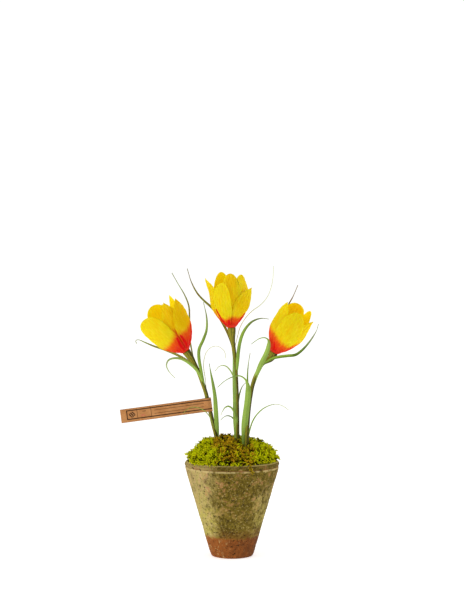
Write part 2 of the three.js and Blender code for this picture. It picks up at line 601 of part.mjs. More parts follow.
// Radius and height of a petal's midline, bellied like a goblet.
function petalMidline({ height, tipRadius, tip, belly, flare = 0 }) {
  const waist = PETAL_WAIST.radius + belly;
  const shoulder = (waist + tipRadius) / 2 + PETAL_SHOULDER_BULGE[tip] - flare;
  return new THREE.CatmullRomCurve3([
    new THREE.Vector3(PETAL_FOOT.radius, 0, PETAL_FOOT.height),
    new THREE.Vector3(PETAL_FLANK.radius + PETAL_FLANK.swell * belly, 0, PETAL_FLANK.height),
    new THREE.Vector3(PETAL_BOWL.radius + PETAL_BOWL.swell * belly, 0, PETAL_BOWL.height),
    new THREE.Vector3(waist, 0, PETAL_WAIST.height),
    new THREE.Vector3(shoulder, 0, PETAL_SHOULDER * height),
    new THREE.Vector3(tipRadius, 0, height),
  ], false, "centripetal");
}

// How the upper half of a petal closes, from 1 at its start to 0 at the tip.
function petalClosing(upper, tip) {
  const left = 1 - Math.pow(upper, PETAL_CLOSING_POWER[tip]);
  return tip === "point" ? left : Math.sqrt(left);
}

function petalHalfWidth(share, { halfWidth, tip }) {
  const widening = PETAL_ROOT_WIDTH + (1 - PETAL_ROOT_WIDTH) * smooth(share / PETAL_FULL_FROM);
  const closing = petalClosing(clamp01(2 * share - 1), tip);
  return Math.max(PETAL_TIP_WIDTH / 2, halfWidth * widening * closing);
}

// One petal: a patch bent round the flower's axis, the same grid on both of its faces. Towards the
// tip it bends less, and it leans sideways by its slant.
function makePetal(petal) {
  const { azimuth, slant = 0, lateLean = PETAL_EARLY_LEAN, rank = 0 } = petal;
  const midline = petalMidline(petal);
  const forward = new THREE.Vector3(1, 0, 0);
  const turn = new THREE.Matrix4().makeRotationZ(THREE.MathUtils.degToRad(azimuth));
  const rings = PETAL_STATIONS.map((share) => {
    const middle = midline.getPointAt(share);
    const slope = midline.getTangentAt(share);
    const bend = middle.x * (1 + share * share / 2);
    const half = petalHalfWidth(share, petal);
    const lean = THREE.MathUtils.degToRad(slant) * Math.pow(share, lateLean);
    const raised = rank * smooth(share / PETAL_RANK_EASE);
    const point = (side, lift) => {
      const angle = (side * half) / bend;
      const outward = new THREE.Vector3(slope.z * Math.cos(angle), slope.z * Math.sin(angle), -slope.x);
      return new THREE.Vector3(middle.x - bend * (1 - Math.cos(angle)), bend * Math.sin(angle), middle.z)
        .addScaledVector(outward, raised + lift)
        .applyAxisAngle(forward, -lean)
        .applyMatrix4(turn);
    };
    const row = Array.from({ length: PETAL_SPLITS + 1 }, (_, k) => (2 * k) / PETAL_SPLITS - 1);
    const outer = row.map((side) => point(side, PETAL_THICKNESS / 2));
    const inner = row.reverse().map((side) => point(side, -PETAL_THICKNESS / 2));
    return [...outer, ...inner];
  });
  return loft(rings);
}

// The petals of one flower, grown from a small solid base with a flat foot.
function makeBloom(bloom) {
  const cup = turned(CUP_PROFILE, CUP_SIDES);
  return withoutCavities(union([cup, ...bloom.petals.map(makePetal)]));
}

function rod(from, to, radii) {
  const [start, end] = [new THREE.Vector3(...from), new THREE.Vector3(...to)];
  const length = start.distanceTo(end);
  const shape = new THREE.CylinderGeometry(radii[1], radii[0], length, STAMEN_ROD_SIDES);
  shape.rotateX(Math.PI / 2).translate(0, 0, length / 2);
  const turn = new THREE.Quaternion().setFromUnitVectors(
    new THREE.Vector3(0, 0, 1), end.clone().sub(start).normalize(),
  );
  return solidOf(shape.applyQuaternion(turn).translate(...from));
}

// Three stamens round a style with three branches, on one small disc.
function makeStamens() {
  const foot = CUP_HEIGHT + SEAT_GAP;
  const { radius, top, height, sides } = STAMEN_DISC;
  const pieces = [turned([[0, foot], [radius, foot], [top, foot + height], [0, foot + height]], sides)];
  pieces.push(rod([0, 0, foot + STYLE.foot], [0, 0, foot + STYLE.height], STYLE.radii));
  for (let k = 0; k < 3; k++) {
    const angle = (2 * Math.PI * k) / 3;
    const at = (distance, z, turn = 0) =>
      [distance * Math.cos(angle + turn), distance * Math.sin(angle + turn), foot + z];
    for (const shape of [FILAMENT, ANTHER]) {
      pieces.push(rod(at(shape.from, shape.foot), at(shape.to, shape.height), shape.radii));
    }
    const { foot: start, height: end, to, turn, radii } = STYLE_BRANCH;
    pieces.push(rod(at(0, start), at(to, end, turn), radii));
  }
  return union(pieces);
}

// ---------------------------------------------------------------- tag

// The card in its own frame, with +X along it and the stem through the origin: a flat strip, and
// the loop where it folds round the stem.
function makeTag() {
  const half = TAG_THICKNESS / 2;
  const outer = TAG_LOOP_RADIUS + half;
  const meet = Math.asin(half / outer);
  const outline = new THREE.Shape();
  outline.moveTo(outer - TAG_LENGTH, -half);
  outline.absarc(0, 0, outer, -Math.PI + meet, Math.PI - meet, false);
  outline.lineTo(outer - TAG_LENGTH, half);
  outline.closePath();
  const opening = new THREE.Path();
  opening.absarc(0, 0, TAG_LOOP_RADIUS, 0, 2 * Math.PI, true);
  outline.holes.push(opening);
  const strip = new THREE.ExtrudeGeometry(
    outline, { depth: TAG_WIDTH, bevelEnabled: false, curveSegments: TAG_LOOP_SEGMENTS },
  );
  return solidOf(strip.translate(0, 0, -TAG_WIDTH / 2));
}

function placedTag() {
  const mesh = meshOf("tag", makeTag(), COLOURS.card, 0.85);
  mesh.position.set(...TAG_PLACE);
  mesh.rotation.y = -THREE.MathUtils.degToRad(TAG_RISE);
  return mesh;
}

// ---------------------------------------------------------------- assembly

function flowerGroup(side, bloom) {
  const flower = new THREE.Group();
  flower.applyMatrix4(bloomFrame(bloom));
  flower.add(meshOf(`bloom_${side}`, makeBloom(bloom), COLOURS.petal, 0.6));
  flower.add(meshOf(`stamens_${side}`, makeStamens(), COLOURS.stamen, 0.7));
  return flower;
}

function pottedCrocus() {
  const group = new THREE.Group();
  const moss = makeMoss();
  group.add(meshOf("pot", makePot(), COLOURS.clay, 0.9));
  group.add(meshOf("soil", makeSoil(), COLOURS.soil, 1));
  group.add(meshOf("moss_left", moss.left, COLOURS.mossGreen, 1));
  group.add(meshOf("moss_centre", moss.centre, COLOURS.mossBrown, 1));
  group.add(meshOf("moss_right", moss.right, COLOURS.mossGreen, 1));
  const plants = [
    ["left", LEFT_STEM, LEFT_BLOOM, LEFT_LEAVES],
    ["centre", CENTRE_STEM, CENTRE_BLOOM, CENTRE_LEAVES],
    ["right", RIGHT_STEM, RIGHT_BLOOM, RIGHT_LEAVES],
  ];
  for (const [side, stem, bloom, leaves] of plants) {
    group.add(meshOf(`leafy_stem_${side}`, makeLeafyStem(stem, bloom, leaves), COLOURS.leaf, 0.7));
    group.add(flowerGroup(side, bloom));
  }
  group.add(placedTag());
  return group;
}

const group = pottedCrocus();
export default group;
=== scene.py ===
"""Potted crocus: three yellow crocuses on leafy stems in an aged clay pot topped with moss, and a
paper tag folded round the left stem.

Shapes are worked out in millimetres, with +Z up, the middle of the pot's base at the origin and -Y
as the front. They become metres where a mesh is made.
"""

from __future__ import annotations

import json
import logging
import math
from collections.abc import Callable, Iterable, Mapping, Sequence
from dataclasses import dataclass, field
from enum import Enum
from typing import Any

import bpy
import numpy as np
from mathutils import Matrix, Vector

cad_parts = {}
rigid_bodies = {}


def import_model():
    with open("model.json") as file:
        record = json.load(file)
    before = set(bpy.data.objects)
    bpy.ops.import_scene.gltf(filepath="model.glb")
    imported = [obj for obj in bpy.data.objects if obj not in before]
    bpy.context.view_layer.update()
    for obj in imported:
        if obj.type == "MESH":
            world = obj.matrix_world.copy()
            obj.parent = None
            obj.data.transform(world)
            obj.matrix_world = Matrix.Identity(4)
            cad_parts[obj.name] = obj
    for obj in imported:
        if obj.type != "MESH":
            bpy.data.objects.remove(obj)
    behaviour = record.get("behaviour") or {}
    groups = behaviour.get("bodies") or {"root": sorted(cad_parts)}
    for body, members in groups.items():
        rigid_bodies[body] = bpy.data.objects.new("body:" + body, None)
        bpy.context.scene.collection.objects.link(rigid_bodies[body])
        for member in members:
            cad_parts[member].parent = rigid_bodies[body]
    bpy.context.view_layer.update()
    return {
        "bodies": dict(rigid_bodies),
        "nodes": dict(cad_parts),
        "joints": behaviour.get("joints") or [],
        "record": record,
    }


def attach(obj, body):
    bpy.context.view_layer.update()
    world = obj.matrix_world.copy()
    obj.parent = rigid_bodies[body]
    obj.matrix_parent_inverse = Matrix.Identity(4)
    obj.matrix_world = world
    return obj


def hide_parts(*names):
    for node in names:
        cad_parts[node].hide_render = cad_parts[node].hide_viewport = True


Array = np.ndarray
Point = tuple[float, float, float]
Colour = tuple[float, float, float, float]
Marks = Mapping[str, Array | float]

MILLIMETRE = 0.001
GOLDEN_SHARE = 0.381966
WHITE = (1.0, 1.0, 1.0, 1.0)
BODY = "root"

log = logging.getLogger("crocus")


# ------------------------------------------------------------------ numbers


def clamp01(value: Array) -> Array:
    """Limits a value to 0..1."""
    return np.clip(value, 0.0, 1.0)


def smooth(value: Array) -> Array:
    """Eases 0..1 by 3t^2 - 2t^3."""
    share = clamp01(value)
    return share * share * (3.0 - 2.0 * share)


def unit(vectors: Array) -> Array:
    """Scales vectors to length 1."""
    return vectors / np.maximum(np.linalg.norm(vectors, axis=-1, keepdims=True), 1e-9)


def lattice_values(cells: Array, seed: int) -> Array:
    """Gives each cell of a cubic lattice a fixed random value.

    Args:
        cells: whole-number cell coordinates, shape (..., 3).
        seed: which set of values.

    Returns:
        Values between -1 and 1: the coordinates times large primes, mixed by exclusive or.
    """
    x, y, z = (cells[..., axis] * prime for axis, prime in enumerate((73856093, 19349663, 83492791)))
    mixed = ((x ^ y ^ z) + seed * 7919) * 1274126177 & 0x7FFFFFFF
    mixed = (mixed ^ (mixed >> 13)) * 1103515245 & 0x7FFFFFFF
    return (mixed >> 7 & 0xFFFF) / 32767.5 - 1.0


def lumps(points: Array, size: float, seed: int) -> Array:
    """Smooth random relief: values on a cubic lattice, eased from corner to corner.

    Args:
        points: places, shape (..., 3).
        size: edge of a lattice cell.
        seed: which set of values.

    Returns:
        A value between -1 and 1 for each place.
    """
    scaled = points / size
    low = np.floor(scaled).astype(np.int64)
    share = smooth(scaled - low)
    total = np.zeros(points.shape[:-1])
    for corner in np.ndindex(2, 2, 2):
        offset = np.array(corner)
        weight = np.prod(np.where(offset == 1, share, 1.0 - share), axis=-1)
        total += weight * lattice_values(low + offset, seed)
    return total


def turn_about(axis: int, degrees: float) -> Array:
    """Matrix of a right-handed turn about X, Y or Z (0, 1 or 2).

    Args:
        axis: 0, 1 or 2.
        degrees: how far it turns.

    Returns:
        The matrix, shape (3, 3).
    """
    angle = math.radians(degrees)
    first, second = (axis + 1) % 3, (axis + 2) % 3
    matrix = np.eye(3)
    matrix[first, first] = matrix[second, second] = math.cos(angle)
    matrix[second, first] = math.sin(angle)
    matrix[first, second] = -math.sin(angle)
    return matrix


def round_angles(sides: int) -> Array:
    """Evenly spread directions round a circle, in radians."""
    return 2 * math.pi * np.arange(sides) / sides


def turned_profile(radius: Array | float, height: Array | float, angle: Array) -> Array:
    """Points of a profile turned round +Z: radius times cos and sin of the angle, and the height."""
    return np.stack([radius * np.cos(angle), radius * np.sin(angle), height + 0 * angle], -1)


class Curve:
    """A smooth curve through points: centripetal Catmull-Rom, read by share of its length."""

    STEPS = 40

    def __init__(self, points: Sequence[Sequence[float]]) -> None:
        """Samples the curve.

        Each stretch is a cubic with end slopes from its neighbours, where the knots are spaced by
        the square root of the distance between points.

        Args:
            points: what the curve passes through.
        """
        given = np.asarray(points, float)
        ends = np.concatenate([[2 * given[0] - given[1]], given, [2 * given[-1] - given[-2]]])
        a, b, c, d = ends[:-3, None], ends[1:-2, None], ends[2:-1, None], ends[3:, None]
        knot = np.sqrt(np.linalg.norm(np.diff(ends, axis=0), axis=1))[:, None, None]
        before, here, after = knot[:-2], knot[1:-1], knot[2:]
        slope_in = ((b - a) / before - (c - a) / (before + here) + (c - b) / here) * here
        slope_out = ((c - b) / here - (d - b) / (here + after) + (d - c) / after) * here
        t = np.linspace(0.0, 1.0, self.STEPS + 1)[None, :, None]
        cubic = 2 * b - 2 * c + slope_in + slope_out
        square = -3 * b + 3 * c - 2 * slope_in - slope_out
        stretches = b + slope_in * t + square * t**2 + cubic * t**3
        self.places = np.concatenate([stretches[:, :-1].reshape(-1, 3), given[-1:]])
        steps = np.linalg.norm(np.diff(self.places, axis=0), axis=1)
        self.lengths = np.concatenate([[0.0], np.cumsum(steps)])
        self.length = float(self.lengths[-1])

    def at(self, shares: Array) -> Array:
        """Places at shares of the curve's length."""
        wanted = np.asarray(shares) * self.length
        return np.stack([np.interp(wanted, self.lengths, axis) for axis in self.places.T], -1)

    def along(self, shares: Array) -> Array:
        """Directions at shares of the curve's length, by central differences."""
        step = 0.004
        return unit(self.at(clamp01(shares + step)) - self.at(clamp01(shares - step)))


@dataclass(frozen=True)
class Frames:
    """Sections along a route: each place with its direction, the way across, and its face."""

    share: Array
    place: Array
    along: Array
    across: Array
    face: Array


def frames_along(curve: Curve, count: int) -> Frames:
    """Sets sections evenly along a curve, each turned to the front.

    Args:
        curve: the route.
        count: how many sections.

    Returns:
        The sections. Across is the direction times the front, and the face is across times the
        direction, as vector products.
    """
    share = np.linspace(0.0, 1.0, count)
    along = curve.along(share)
    across = unit(np.cross(along, [0.0, -1.0, 0.0]))
    return Frames(share, curve.at(share), along, across, np.cross(across, along))


# ------------------------------------------------------------------ surfaces and meshes


@dataclass
class Surface:
    """Closed skins in millimetres, before they become a Blender mesh.

    Args:
        points: places of the vertices, shape (n, 3).
        quads: corners of the four-sided faces, shape (q, 4).
        triangles: corners of the three-sided faces, shape (t, 3).
        marks: named values of the vertices, which the finishes read.
    """

    points: Array
    quads: Array
    triangles: Array = field(default_factory=lambda: np.zeros((0, 3), int))
    marks: dict[str, Array] = field(default_factory=dict)

    def corners(self) -> Array:
        """Every face as triangles, shape (m, 3)."""
        return np.concatenate([self.triangles, self.quads[:, [0, 1, 2]], self.quads[:, [0, 2, 3]]])

    def faced_out(self) -> Surface:
        """Turns every face round if the volume that they enclose comes out negative.

        Returns:
            The surface itself.
        """
        a, b, c = (self.points[self.corners()[:, k]] for k in range(3))
        if np.einsum("ij,ij->", a, np.cross(b, c)) < 0:
            self.quads = self.quads[:, ::-1]
            self.triangles = self.triangles[:, ::-1]
        return self

    def moved(self, turn: Array, shift: Sequence[float] = (0.0, 0.0, 0.0)) -> Surface:
        """Turns the points by a matrix, then shifts them."""
        self.points = self.points @ turn.T + np.asarray(shift, float)
        return self


def joined(surfaces: Sequence[Surface]) -> Surface:
    """Puts surfaces with the same marks into one.

    Args:
        surfaces: what to join.

    Returns:
        One surface.
    """
    starts = np.cumsum([0] + [len(one.points) for one in surfaces[:-1]])
    return Surface(
        np.concatenate([one.points for one in surfaces]),
        np.concatenate([one.quads + start for one, start in zip(surfaces, starts)]),
        np.concatenate([one.triangles + start for one, start in zip(surfaces, starts)]),
        {name: np.concatenate([one.marks[name] for one in surfaces]) for name in surfaces[0].marks},
    )


def bands(count: int, sides: int) -> Array:
    """Squares that join rings of equally many points, each ring closed on itself.

    Args:
        count: how many rings.
        sides: points in each ring.

    Returns:
        Corners of the squares, shape (n, 4).
    """
    row = np.arange(count - 1)[:, None] * sides
    here = np.arange(sides)[None]
    ahead = (here + 1) % sides
    squares = np.stack([row + here, row + ahead, row + ahead + sides, row + here + sides], -1)
    return squares.reshape(-1, 4)


def spread(marks: Marks, shape: tuple[int, int]) -> dict[str, Array]:
    """Gives each mark a value for every place of a grid, as one row."""
    return {name: np.broadcast_to(mark, shape).reshape(-1) for name, mark in marks.items()}


def there_and_back(row: Array) -> Array:
    """A row of values over the face of a sheet, and back again under it."""
    return np.concatenate([row, row[::-1]])


def lofted(rings: Array, marks: Marks) -> Surface:
    """Closes a skin through rings of points.

    Each ring joins the next by squares, and a strip of squares between the two halves of a ring
    closes either end.

    Args:
        rings: shape (rings, sides, 3), with an even number of sides.
        marks: values, spread to the shape (rings, sides).

    Returns:
        The closed skin.
    """
    count, sides = rings.shape[:2]
    k = np.arange(sides // 2 - 1)
    strip = np.stack([k, sides - 1 - k, sides - 2 - k, k + 1], -1)
    last = strip[:, ::-1] + (count - 1) * sides
    quads = np.concatenate([bands(count, sides), strip, last])
    return Surface(rings.reshape(-1, 3), quads, marks=spread(marks, (count, sides))).faced_out()


def poled(rings: Array, first: Sequence[float], last: Sequence[float]) -> Surface:
    """Closes a skin through rings and a single point at either end.

    Args:
        rings: shape (rings, sides, 3).
        first: the pole before the first ring.
        last: the pole after the last ring.

    Returns:
        The closed skin.
    """
    count, sides = rings.shape[:2]
    here = np.arange(sides)
    ahead = (here + 1) % sides
    foot, top = count * sides, count * sides + 1
    end = (count - 1) * sides
    caps = [
        np.stack([np.full(sides, foot), ahead, here], -1),
        np.stack([np.full(sides, top), end + here, end + ahead], -1),
    ]
    points = np.concatenate([rings.reshape(-1, 3), [first], [last]])
    return Surface(points, bands(count, sides), np.concatenate(caps)).faced_out()


def rods(paths: Array, radii: Array, sides: int, marks: Marks) -> Surface:
    """Carries a small round section along many paths at once.

    Each ring is the path's point plus radius times (u cos a + w sin a), where u and w stand square
    to the path and to each other.

    Args:
        paths: shape (paths, points, 3).
        radii: spread to the shape (paths, points).
        sides: corners of a section, 3 or 4.
        marks: values, spread to the shape (paths, points).

    Returns:
        One closed skin for each path, all in one surface.
    """
    many, count = paths.shape[:2]
    along = unit(np.gradient(paths, axis=1))
    chord = unit(paths[:, -1] - paths[:, 0])[:, None]
    aside = np.where(np.abs(chord[..., 2:]) > 0.8, [1.0, 0.0, 0.0], [0.0, 0.0, 1.0])
    u = unit(np.cross(along, np.broadcast_to(aside, along.shape)))
    w = np.cross(along, u)
    angle = round_angles(sides)[:, None]
    spokes = u[:, :, None] * np.cos(angle) + w[:, :, None] * np.sin(angle)
    reach = np.broadcast_to(radii, (many, count))[:, :, None, None]
    points = (paths[:, :, None] + reach * spokes).reshape(-1, 3)
    starts = (np.arange(many) * count * sides)[:, None, None]
    quads = (bands(count, sides)[None] + starts).reshape(-1, 4)
    k = np.arange(sides)
    ends = np.stack([k[::-1], k + (count - 1) * sides])
    caps = (ends[None] + starts).reshape(-1, sides)
    flat = {name: np.repeat(mark, sides) for name, mark in spread(marks, (many, count)).items()}
    if sides == 3:
        return Surface(points, quads, caps, flat)
    return Surface(points, np.concatenate([quads, caps]), marks=flat)


def make_object(name: str, surface: Surface, material: bpy.types.Material) -> bpy.types.Object:
    """Makes a smooth-shaded mesh object of a surface, its place in its vertices.

    Args:
        name: the piece's name.
        surface: skins in millimetres.
        material: its finish.

    Returns:
        The object, linked to the scene and riding on the part's body.
    """
    mesh = bpy.data.meshes.new(name)
    counts = [len(surface.quads), len(surface.triangles)]
    corners = np.concatenate([surface.quads.reshape(-1), surface.triangles.reshape(-1)])
    starts = np.concatenate([4 * np.arange(counts[0]), 4 * counts[0] + 3 * np.arange(counts[1])])
    mesh.vertices.add(len(surface.points))
    mesh.vertices.foreach_set("co", (surface.points * MILLIMETRE).astype(np.float32).reshape(-1))
    mesh.loops.add(len(corners))
    mesh.loops.foreach_set("vertex_index", corners.astype(np.int32))
    mesh.polygons.add(sum(counts))
    mesh.polygons.foreach_set("loop_start", starts.astype(np.int32))
    mesh.polygons.foreach_set("use_smooth", np.ones(sum(counts), bool))
    for mark, values in surface.marks.items():
        mesh.attributes.new(mark, "FLOAT", "POINT").data.foreach_set("value", values.astype(np.float32))
    mesh.update(calc_edges=True)
    mesh.validate()
    mesh.materials.append(material)
    made = bpy.data.objects.new(name, mesh)
    bpy.context.scene.collection.objects.link(made)
    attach(made, BODY)
    log.info("%s: %d faces", name, sum(counts))
    return made


# ------------------------------------------------------------------ shader wiring


def paint(red: float, green: float, blue: float) -> Colour:
    """Turns a display colour of 0..255 into the linear colour that a socket takes.

    Args:
        red: 0 to 255.
        green: 0 to 255.
        blue: 0 to 255.

    Returns:
        Linear red, green and blue, and an alpha of 1.
    """
    shares = [channel / 255.0 for channel in (red, green, blue)]
    linear = [c / 12.92 if c <= 0.04045 else ((c + 0.055) / 1.055) ** 2.4 for c in shares]
    return (linear[0], linear[1], linear[2], 1.0)


def operator(operation: str, swapped: bool = False) -> Callable[..., Wire]:
    """Makes a method that adds a Math node of this operation.

    Args:
        operation: the node's operation.
        swapped: whether the wire itself comes last.

    Returns:
        The method: it takes the operation's other value, if it has one, and gives a wire.
    """

    def method(wire: Wire, *others: Wire | float) -> Wire:
        """Adds the node."""
        values = (*others, wire) if swapped else (wire, *others)
        return wire.recipe.node("ShaderNodeMath", {"operation": operation}, dict(enumerate(values)))

    return method


@dataclass(frozen=True)
class Wire:
    """One output in a material, on which arithmetic adds Math nodes."""

    recipe: Recipe
    socket: bpy.types.NodeSocket

    __add__ = __radd__ = operator("ADD")
    __sub__ = operator("SUBTRACT")
    __rsub__ = operator("SUBTRACT", swapped=True)
    __mul__ = __rmul__ = operator("MULTIPLY")
    __truediv__ = operator("DIVIDE")
    __abs__ = operator("ABSOLUTE")
    sine = operator("SINE")
    most = operator("MAXIMUM")

    def span(self, low: float, high: float) -> Wire:
        """Eases self from 0 at low to 1 at high; low may be the larger.

        Args:
            low: where it is 0.
            high: where it is 1.

        Returns:
            The eased wire.
        """
        limits = {"Value": self, "From Min": low, "From Max": high}
        settings = {"interpolation_type": "SMOOTHSTEP", "clamp": True}
        return self.recipe.node("ShaderNodeMapRange", settings, limits)


class Recipe:
    """The nodes of one material, from what it reads to its Principled shader."""

    def __init__(self, name: str) -> None:
        """Starts a material with its plain shader.

        Args:
            name: the material's name.
        """
        self.material = bpy.data.materials.new(name)
        self.material.use_nodes = True
        self.tree = self.material.node_tree
        self.shader = self.tree.nodes["Principled BSDF"]

    def feed(self, socket: bpy.types.NodeSocket, value: Any) -> None:
        """Links a wire to a socket, or sets the socket to a constant.

        Args:
            socket: the input.
            value: a wire or a constant.
        """
        if isinstance(value, Wire):
            self.tree.links.new(value.socket, socket)
        else:
            socket.default_value = value

    def node(
        self,
        kind: str,
        settings: dict[str, Any] | None = None,
        inputs: dict[int | str, Any] | None = None,
        output: int | str = 0,
    ) -> Wire:
        """Adds any node.

        Args:
            kind: the node's type name.
            settings: its own properties, set before its sockets are fed.
            inputs: a wire or a constant for each socket, by number or name.
            output: which output to give back.

        Returns:
            That output as a wire.
        """
        made = self.tree.nodes.new(kind)
        for name, value in (settings or {}).items():
            setattr(made, name, value)
        for key, value in (inputs or {}).items():
            self.feed(made.inputs[key], value)
        return Wire(self, made.outputs[output])

    def marks(self, *names: str) -> list[Wire]:
        """Reads named values of the mesh."""
        kind = "ShaderNodeAttribute"
        return [self.node(kind, {"attribute_name": name}, output="Fac") for name in names]

    def place(self) -> Wire:
        """Object coordinates in millimetres.

        Returns:
            A vector.
        """
        coordinates = self.node("ShaderNodeTexCoord", output="Object")
        inputs = {0: coordinates, "Scale": 1.0 / MILLIMETRE}
        return self.node("ShaderNodeVectorMath", {"operation": "SCALE"}, inputs)

    def split(self, vector: Wire) -> list[Wire]:
        """The three parts of a vector."""
        return [self.node("ShaderNodeSeparateXYZ", None, {0: vector}, axis) for axis in "XYZ"]

    def vector(self, x: Wire | float, y: Wire | float, z: Wire | float) -> Wire:
        """A vector of three values."""
        return self.node("ShaderNodeCombineXYZ", None, {0: x, 1: y, 2: z})

    def noise(self, vector: Wire, size: float, detail: float = 3.0, roughness: float = 0.55) -> Wire:
        """Noise around 0.5, whose lumps are about `size` across."""
        inputs = {"Vector": vector, "Scale": 1.0 / size, "Detail": detail, "Roughness": roughness}
        return self.node("ShaderNodeTexNoise", {"noise_dimensions": "3D"}, inputs)

    def mix(self, first: Wire | Colour, second: Wire | Colour, share: Wire | float) -> Wire:
        """Blends two colours: the first at share 0, the second at share 1."""
        settings = {"data_type": "RGBA", "blend_type": "MIX", "clamp_factor": True}
        return self.node("ShaderNodeMix", settings, {0: share, 6: first, 7: second}, 2)

    def coats(self, base: Wire | Colour, *coats: tuple[Wire | Colour, Wire | float]) -> Wire:
        """Lays colours over a base in turn, each by its share.

        Args:
            base: the colour underneath.
            coats: pairs of a colour and its share, 0 to 1.

        Returns:
            The blended colour.
        """
        for colour, share in coats:
            base = self.mix(base, colour, share)
        return base

    def relief(self, height: Wire, depth_mm: float, strength: float = 1.0) -> Wire:
        """A bumped normal: height 0..1 stands for up to depth_mm."""
        inputs = {"Strength": strength, "Distance": depth_mm * MILLIMETRE, "Height": height}
        return self.node("ShaderNodeBump", None, inputs, "Normal")

    def finish(self, **sockets: Any) -> bpy.types.Material:
        """Feeds the shader's sockets, named with underscores for spaces, and gives the material.

        Args:
            sockets: a wire or a constant for each.

        Returns:
            The material.
        """
        for name, value in sockets.items():
            self.feed(self.shader.inputs[name.replace("_", " ")], value)
        return self.material


# ------------------------------------------------------------------ finishes


@dataclass(frozen=True)
class AgedClayFinish:
    """Old clay with a mossy, chalky patina that stops above a bare foot."""

    bare: Colour = paint(150, 86, 36)
    bare_dark: Colour = paint(104, 58, 24)
    olive: Colour = paint(124, 106, 34)
    dark_olive: Colour = paint(76, 62, 12)
    pale: Colour = paint(192, 174, 106)
    fleck: Colour = paint(206, 184, 124)
    green: Colour = paint(186, 174, 84)
    rosy: Colour = paint(196, 160, 118)
    pink: Colour = paint(166, 108, 72)
    pit: Colour = paint(38, 28, 8)
    bare_height: float = 23.5
    band_foot: float = 97.0
    rim_height: float = 100.7

    def patina(self, recipe: Recipe, place: Wire) -> Wire:
        """Moss stain over the clay, paler to the left, partly chalk and partly painted light from the left,
        chalky low on the right, with crust and streaks.

        Args:
            recipe: where its nodes go.
            place: object coordinates in millimetres.

        Returns:
            The patina's colour.
        """
        x, y, z = recipe.split(place)
        streaks = recipe.noise(recipe.vector(x, y, z * 0.18), 2.2, 3.0, 0.6)
        blotches = recipe.noise(place, 13.0, 3.0, 0.5)
        patches = recipe.noise(place, 4.5, 4.0, 0.65)
        crust = recipe.noise(place, 2.1, 3.0, 0.7)
        mottle = recipe.noise(place, 5.5, 4.0, 0.6)
        flecks = recipe.noise(recipe.vector(x, z, y), 1.9, 3.0, 0.7)
        depth = crust * 0.9 + patches * 0.45 + blotches * 0.35
        moss = recipe.mix(self.dark_olive, self.olive, depth.span(0.66, 1.04))
        pale = recipe.coats(
            self.pale,
            (self.green, z.span(86.0, 40.0) * mottle.span(0.36, 0.62)),
            (self.rosy, z.span(52.0, 84.0) * mottle.span(0.5, 0.38) * 0.7),
        )
        # left: paler towards the left and lower down, partly chalk and partly painted light from the left
        left = x.span(-5.0, -34.0) * (0.72 + 0.25 * z.span(75.0, 40.0))
        right = x.span(15.0, 31.0) * z.span(94.0, 60.0)
        chalk_and_painted_light = left + right * 0.42 + (patches + blotches - 1.0) * 1.1 + (streaks - 0.5) * right
        return recipe.coats(
            moss,
            (pale, chalk_and_painted_light.span(0.0, 1.0) * (0.3 + 1.2 * crust)),
            (self.pink, (blotches * 0.6 + patches * 0.9).span(0.78, 0.92) * z.span(30.0, 75.0) * 0.55),
            (self.fleck, flecks.span(0.56, 0.7) * 0.55),
        )

    def clay(self, recipe: Recipe, place: Wire, patches: Wire, grains: Wire) -> Wire:
        """Bare clay, lighter in patches and towards the left, where the lightening is painted light, with
        pale scuffs to the left.

        Args:
            recipe: where its nodes go.
            place: object coordinates in millimetres.
            patches: noise in large patches.
            grains: fine noise.

        Returns:
            The clay's colour.
        """
        x, y, z = recipe.split(place)
        scuffs = recipe.noise(recipe.vector(x, y, z * 0.35), 2.6, 4.0, 0.75).span(0.55, 0.68)
        return recipe.coats(
            self.bare_dark,
            # the x term makes the bare clay lighter towards the left: painted light from the left
            (self.bare, (patches * 0.6 + grains * 0.7 - x * 0.007).span(0.42, 0.85)),
            (self.fleck, scuffs * (0.2 + 0.55 * x.span(2.0, -16.0))),
        )

    def material(self) -> bpy.types.Material:
        """Builds the material: clay, the patina over it, a painted highlight under the band and painted
        shade in its groove, the darker band, pits and rim.

        Returns:
            The material.
        """
        recipe = Recipe("aged_clay")
        place = recipe.place()
        x, _, z = recipe.split(place)
        patches = recipe.noise(place, 6.0, 4.0, 0.6)
        grains = recipe.noise(place, 1.1, 3.0, 0.7)
        edge = z + (patches - 0.5) * 9.0 + (grains - 0.5) * 5.0 - self.bare_height
        pits = recipe.noise(place, 2.3, 2.0, 0.6).span(0.4, 0.33) * (patches * 0.8 + 0.2).span(0.35, 0.62)
        above = z - self.band_foot
        colour = recipe.coats(
            self.clay(recipe, place, patches, grains),
            (self.patina(recipe, place), edge.span(-3.0, 2.4)),
            (self.bare_dark, edge.span(-1.0, 2.0) * edge.span(12.0, 2.0) * x.span(-24.0, -8.0) * 0.45),
            # pale line just under the band: painted highlight
            (self.fleck, abs(above + 1.6).span(1.5, 0.3) * patches.span(0.34, 0.58) * 0.7),
            (self.dark_olive, above.span(-0.2, 0.5) * (0.05 + 0.5 * patches)),
            # dark line in the groove under the band: painted shade
            (self.bare_dark, abs(above + 0.3).span(0.7, 0.1) * 0.6),
            (self.pit, pits * 0.85),
            (self.pale, (z - self.rim_height).span(0.0, 1.0) * grains.span(0.2, 0.5) * 0.7),
        )
        height = patches * 0.4 + grains * 0.5 - pits * 0.6
        normal = recipe.relief(height, 0.8, 0.8)
        roughness = 0.86 + 0.1 * patches
        return recipe.finish(Base_Color=colour, Roughness=roughness, Normal=normal, Specular_IOR_Level=0.12)


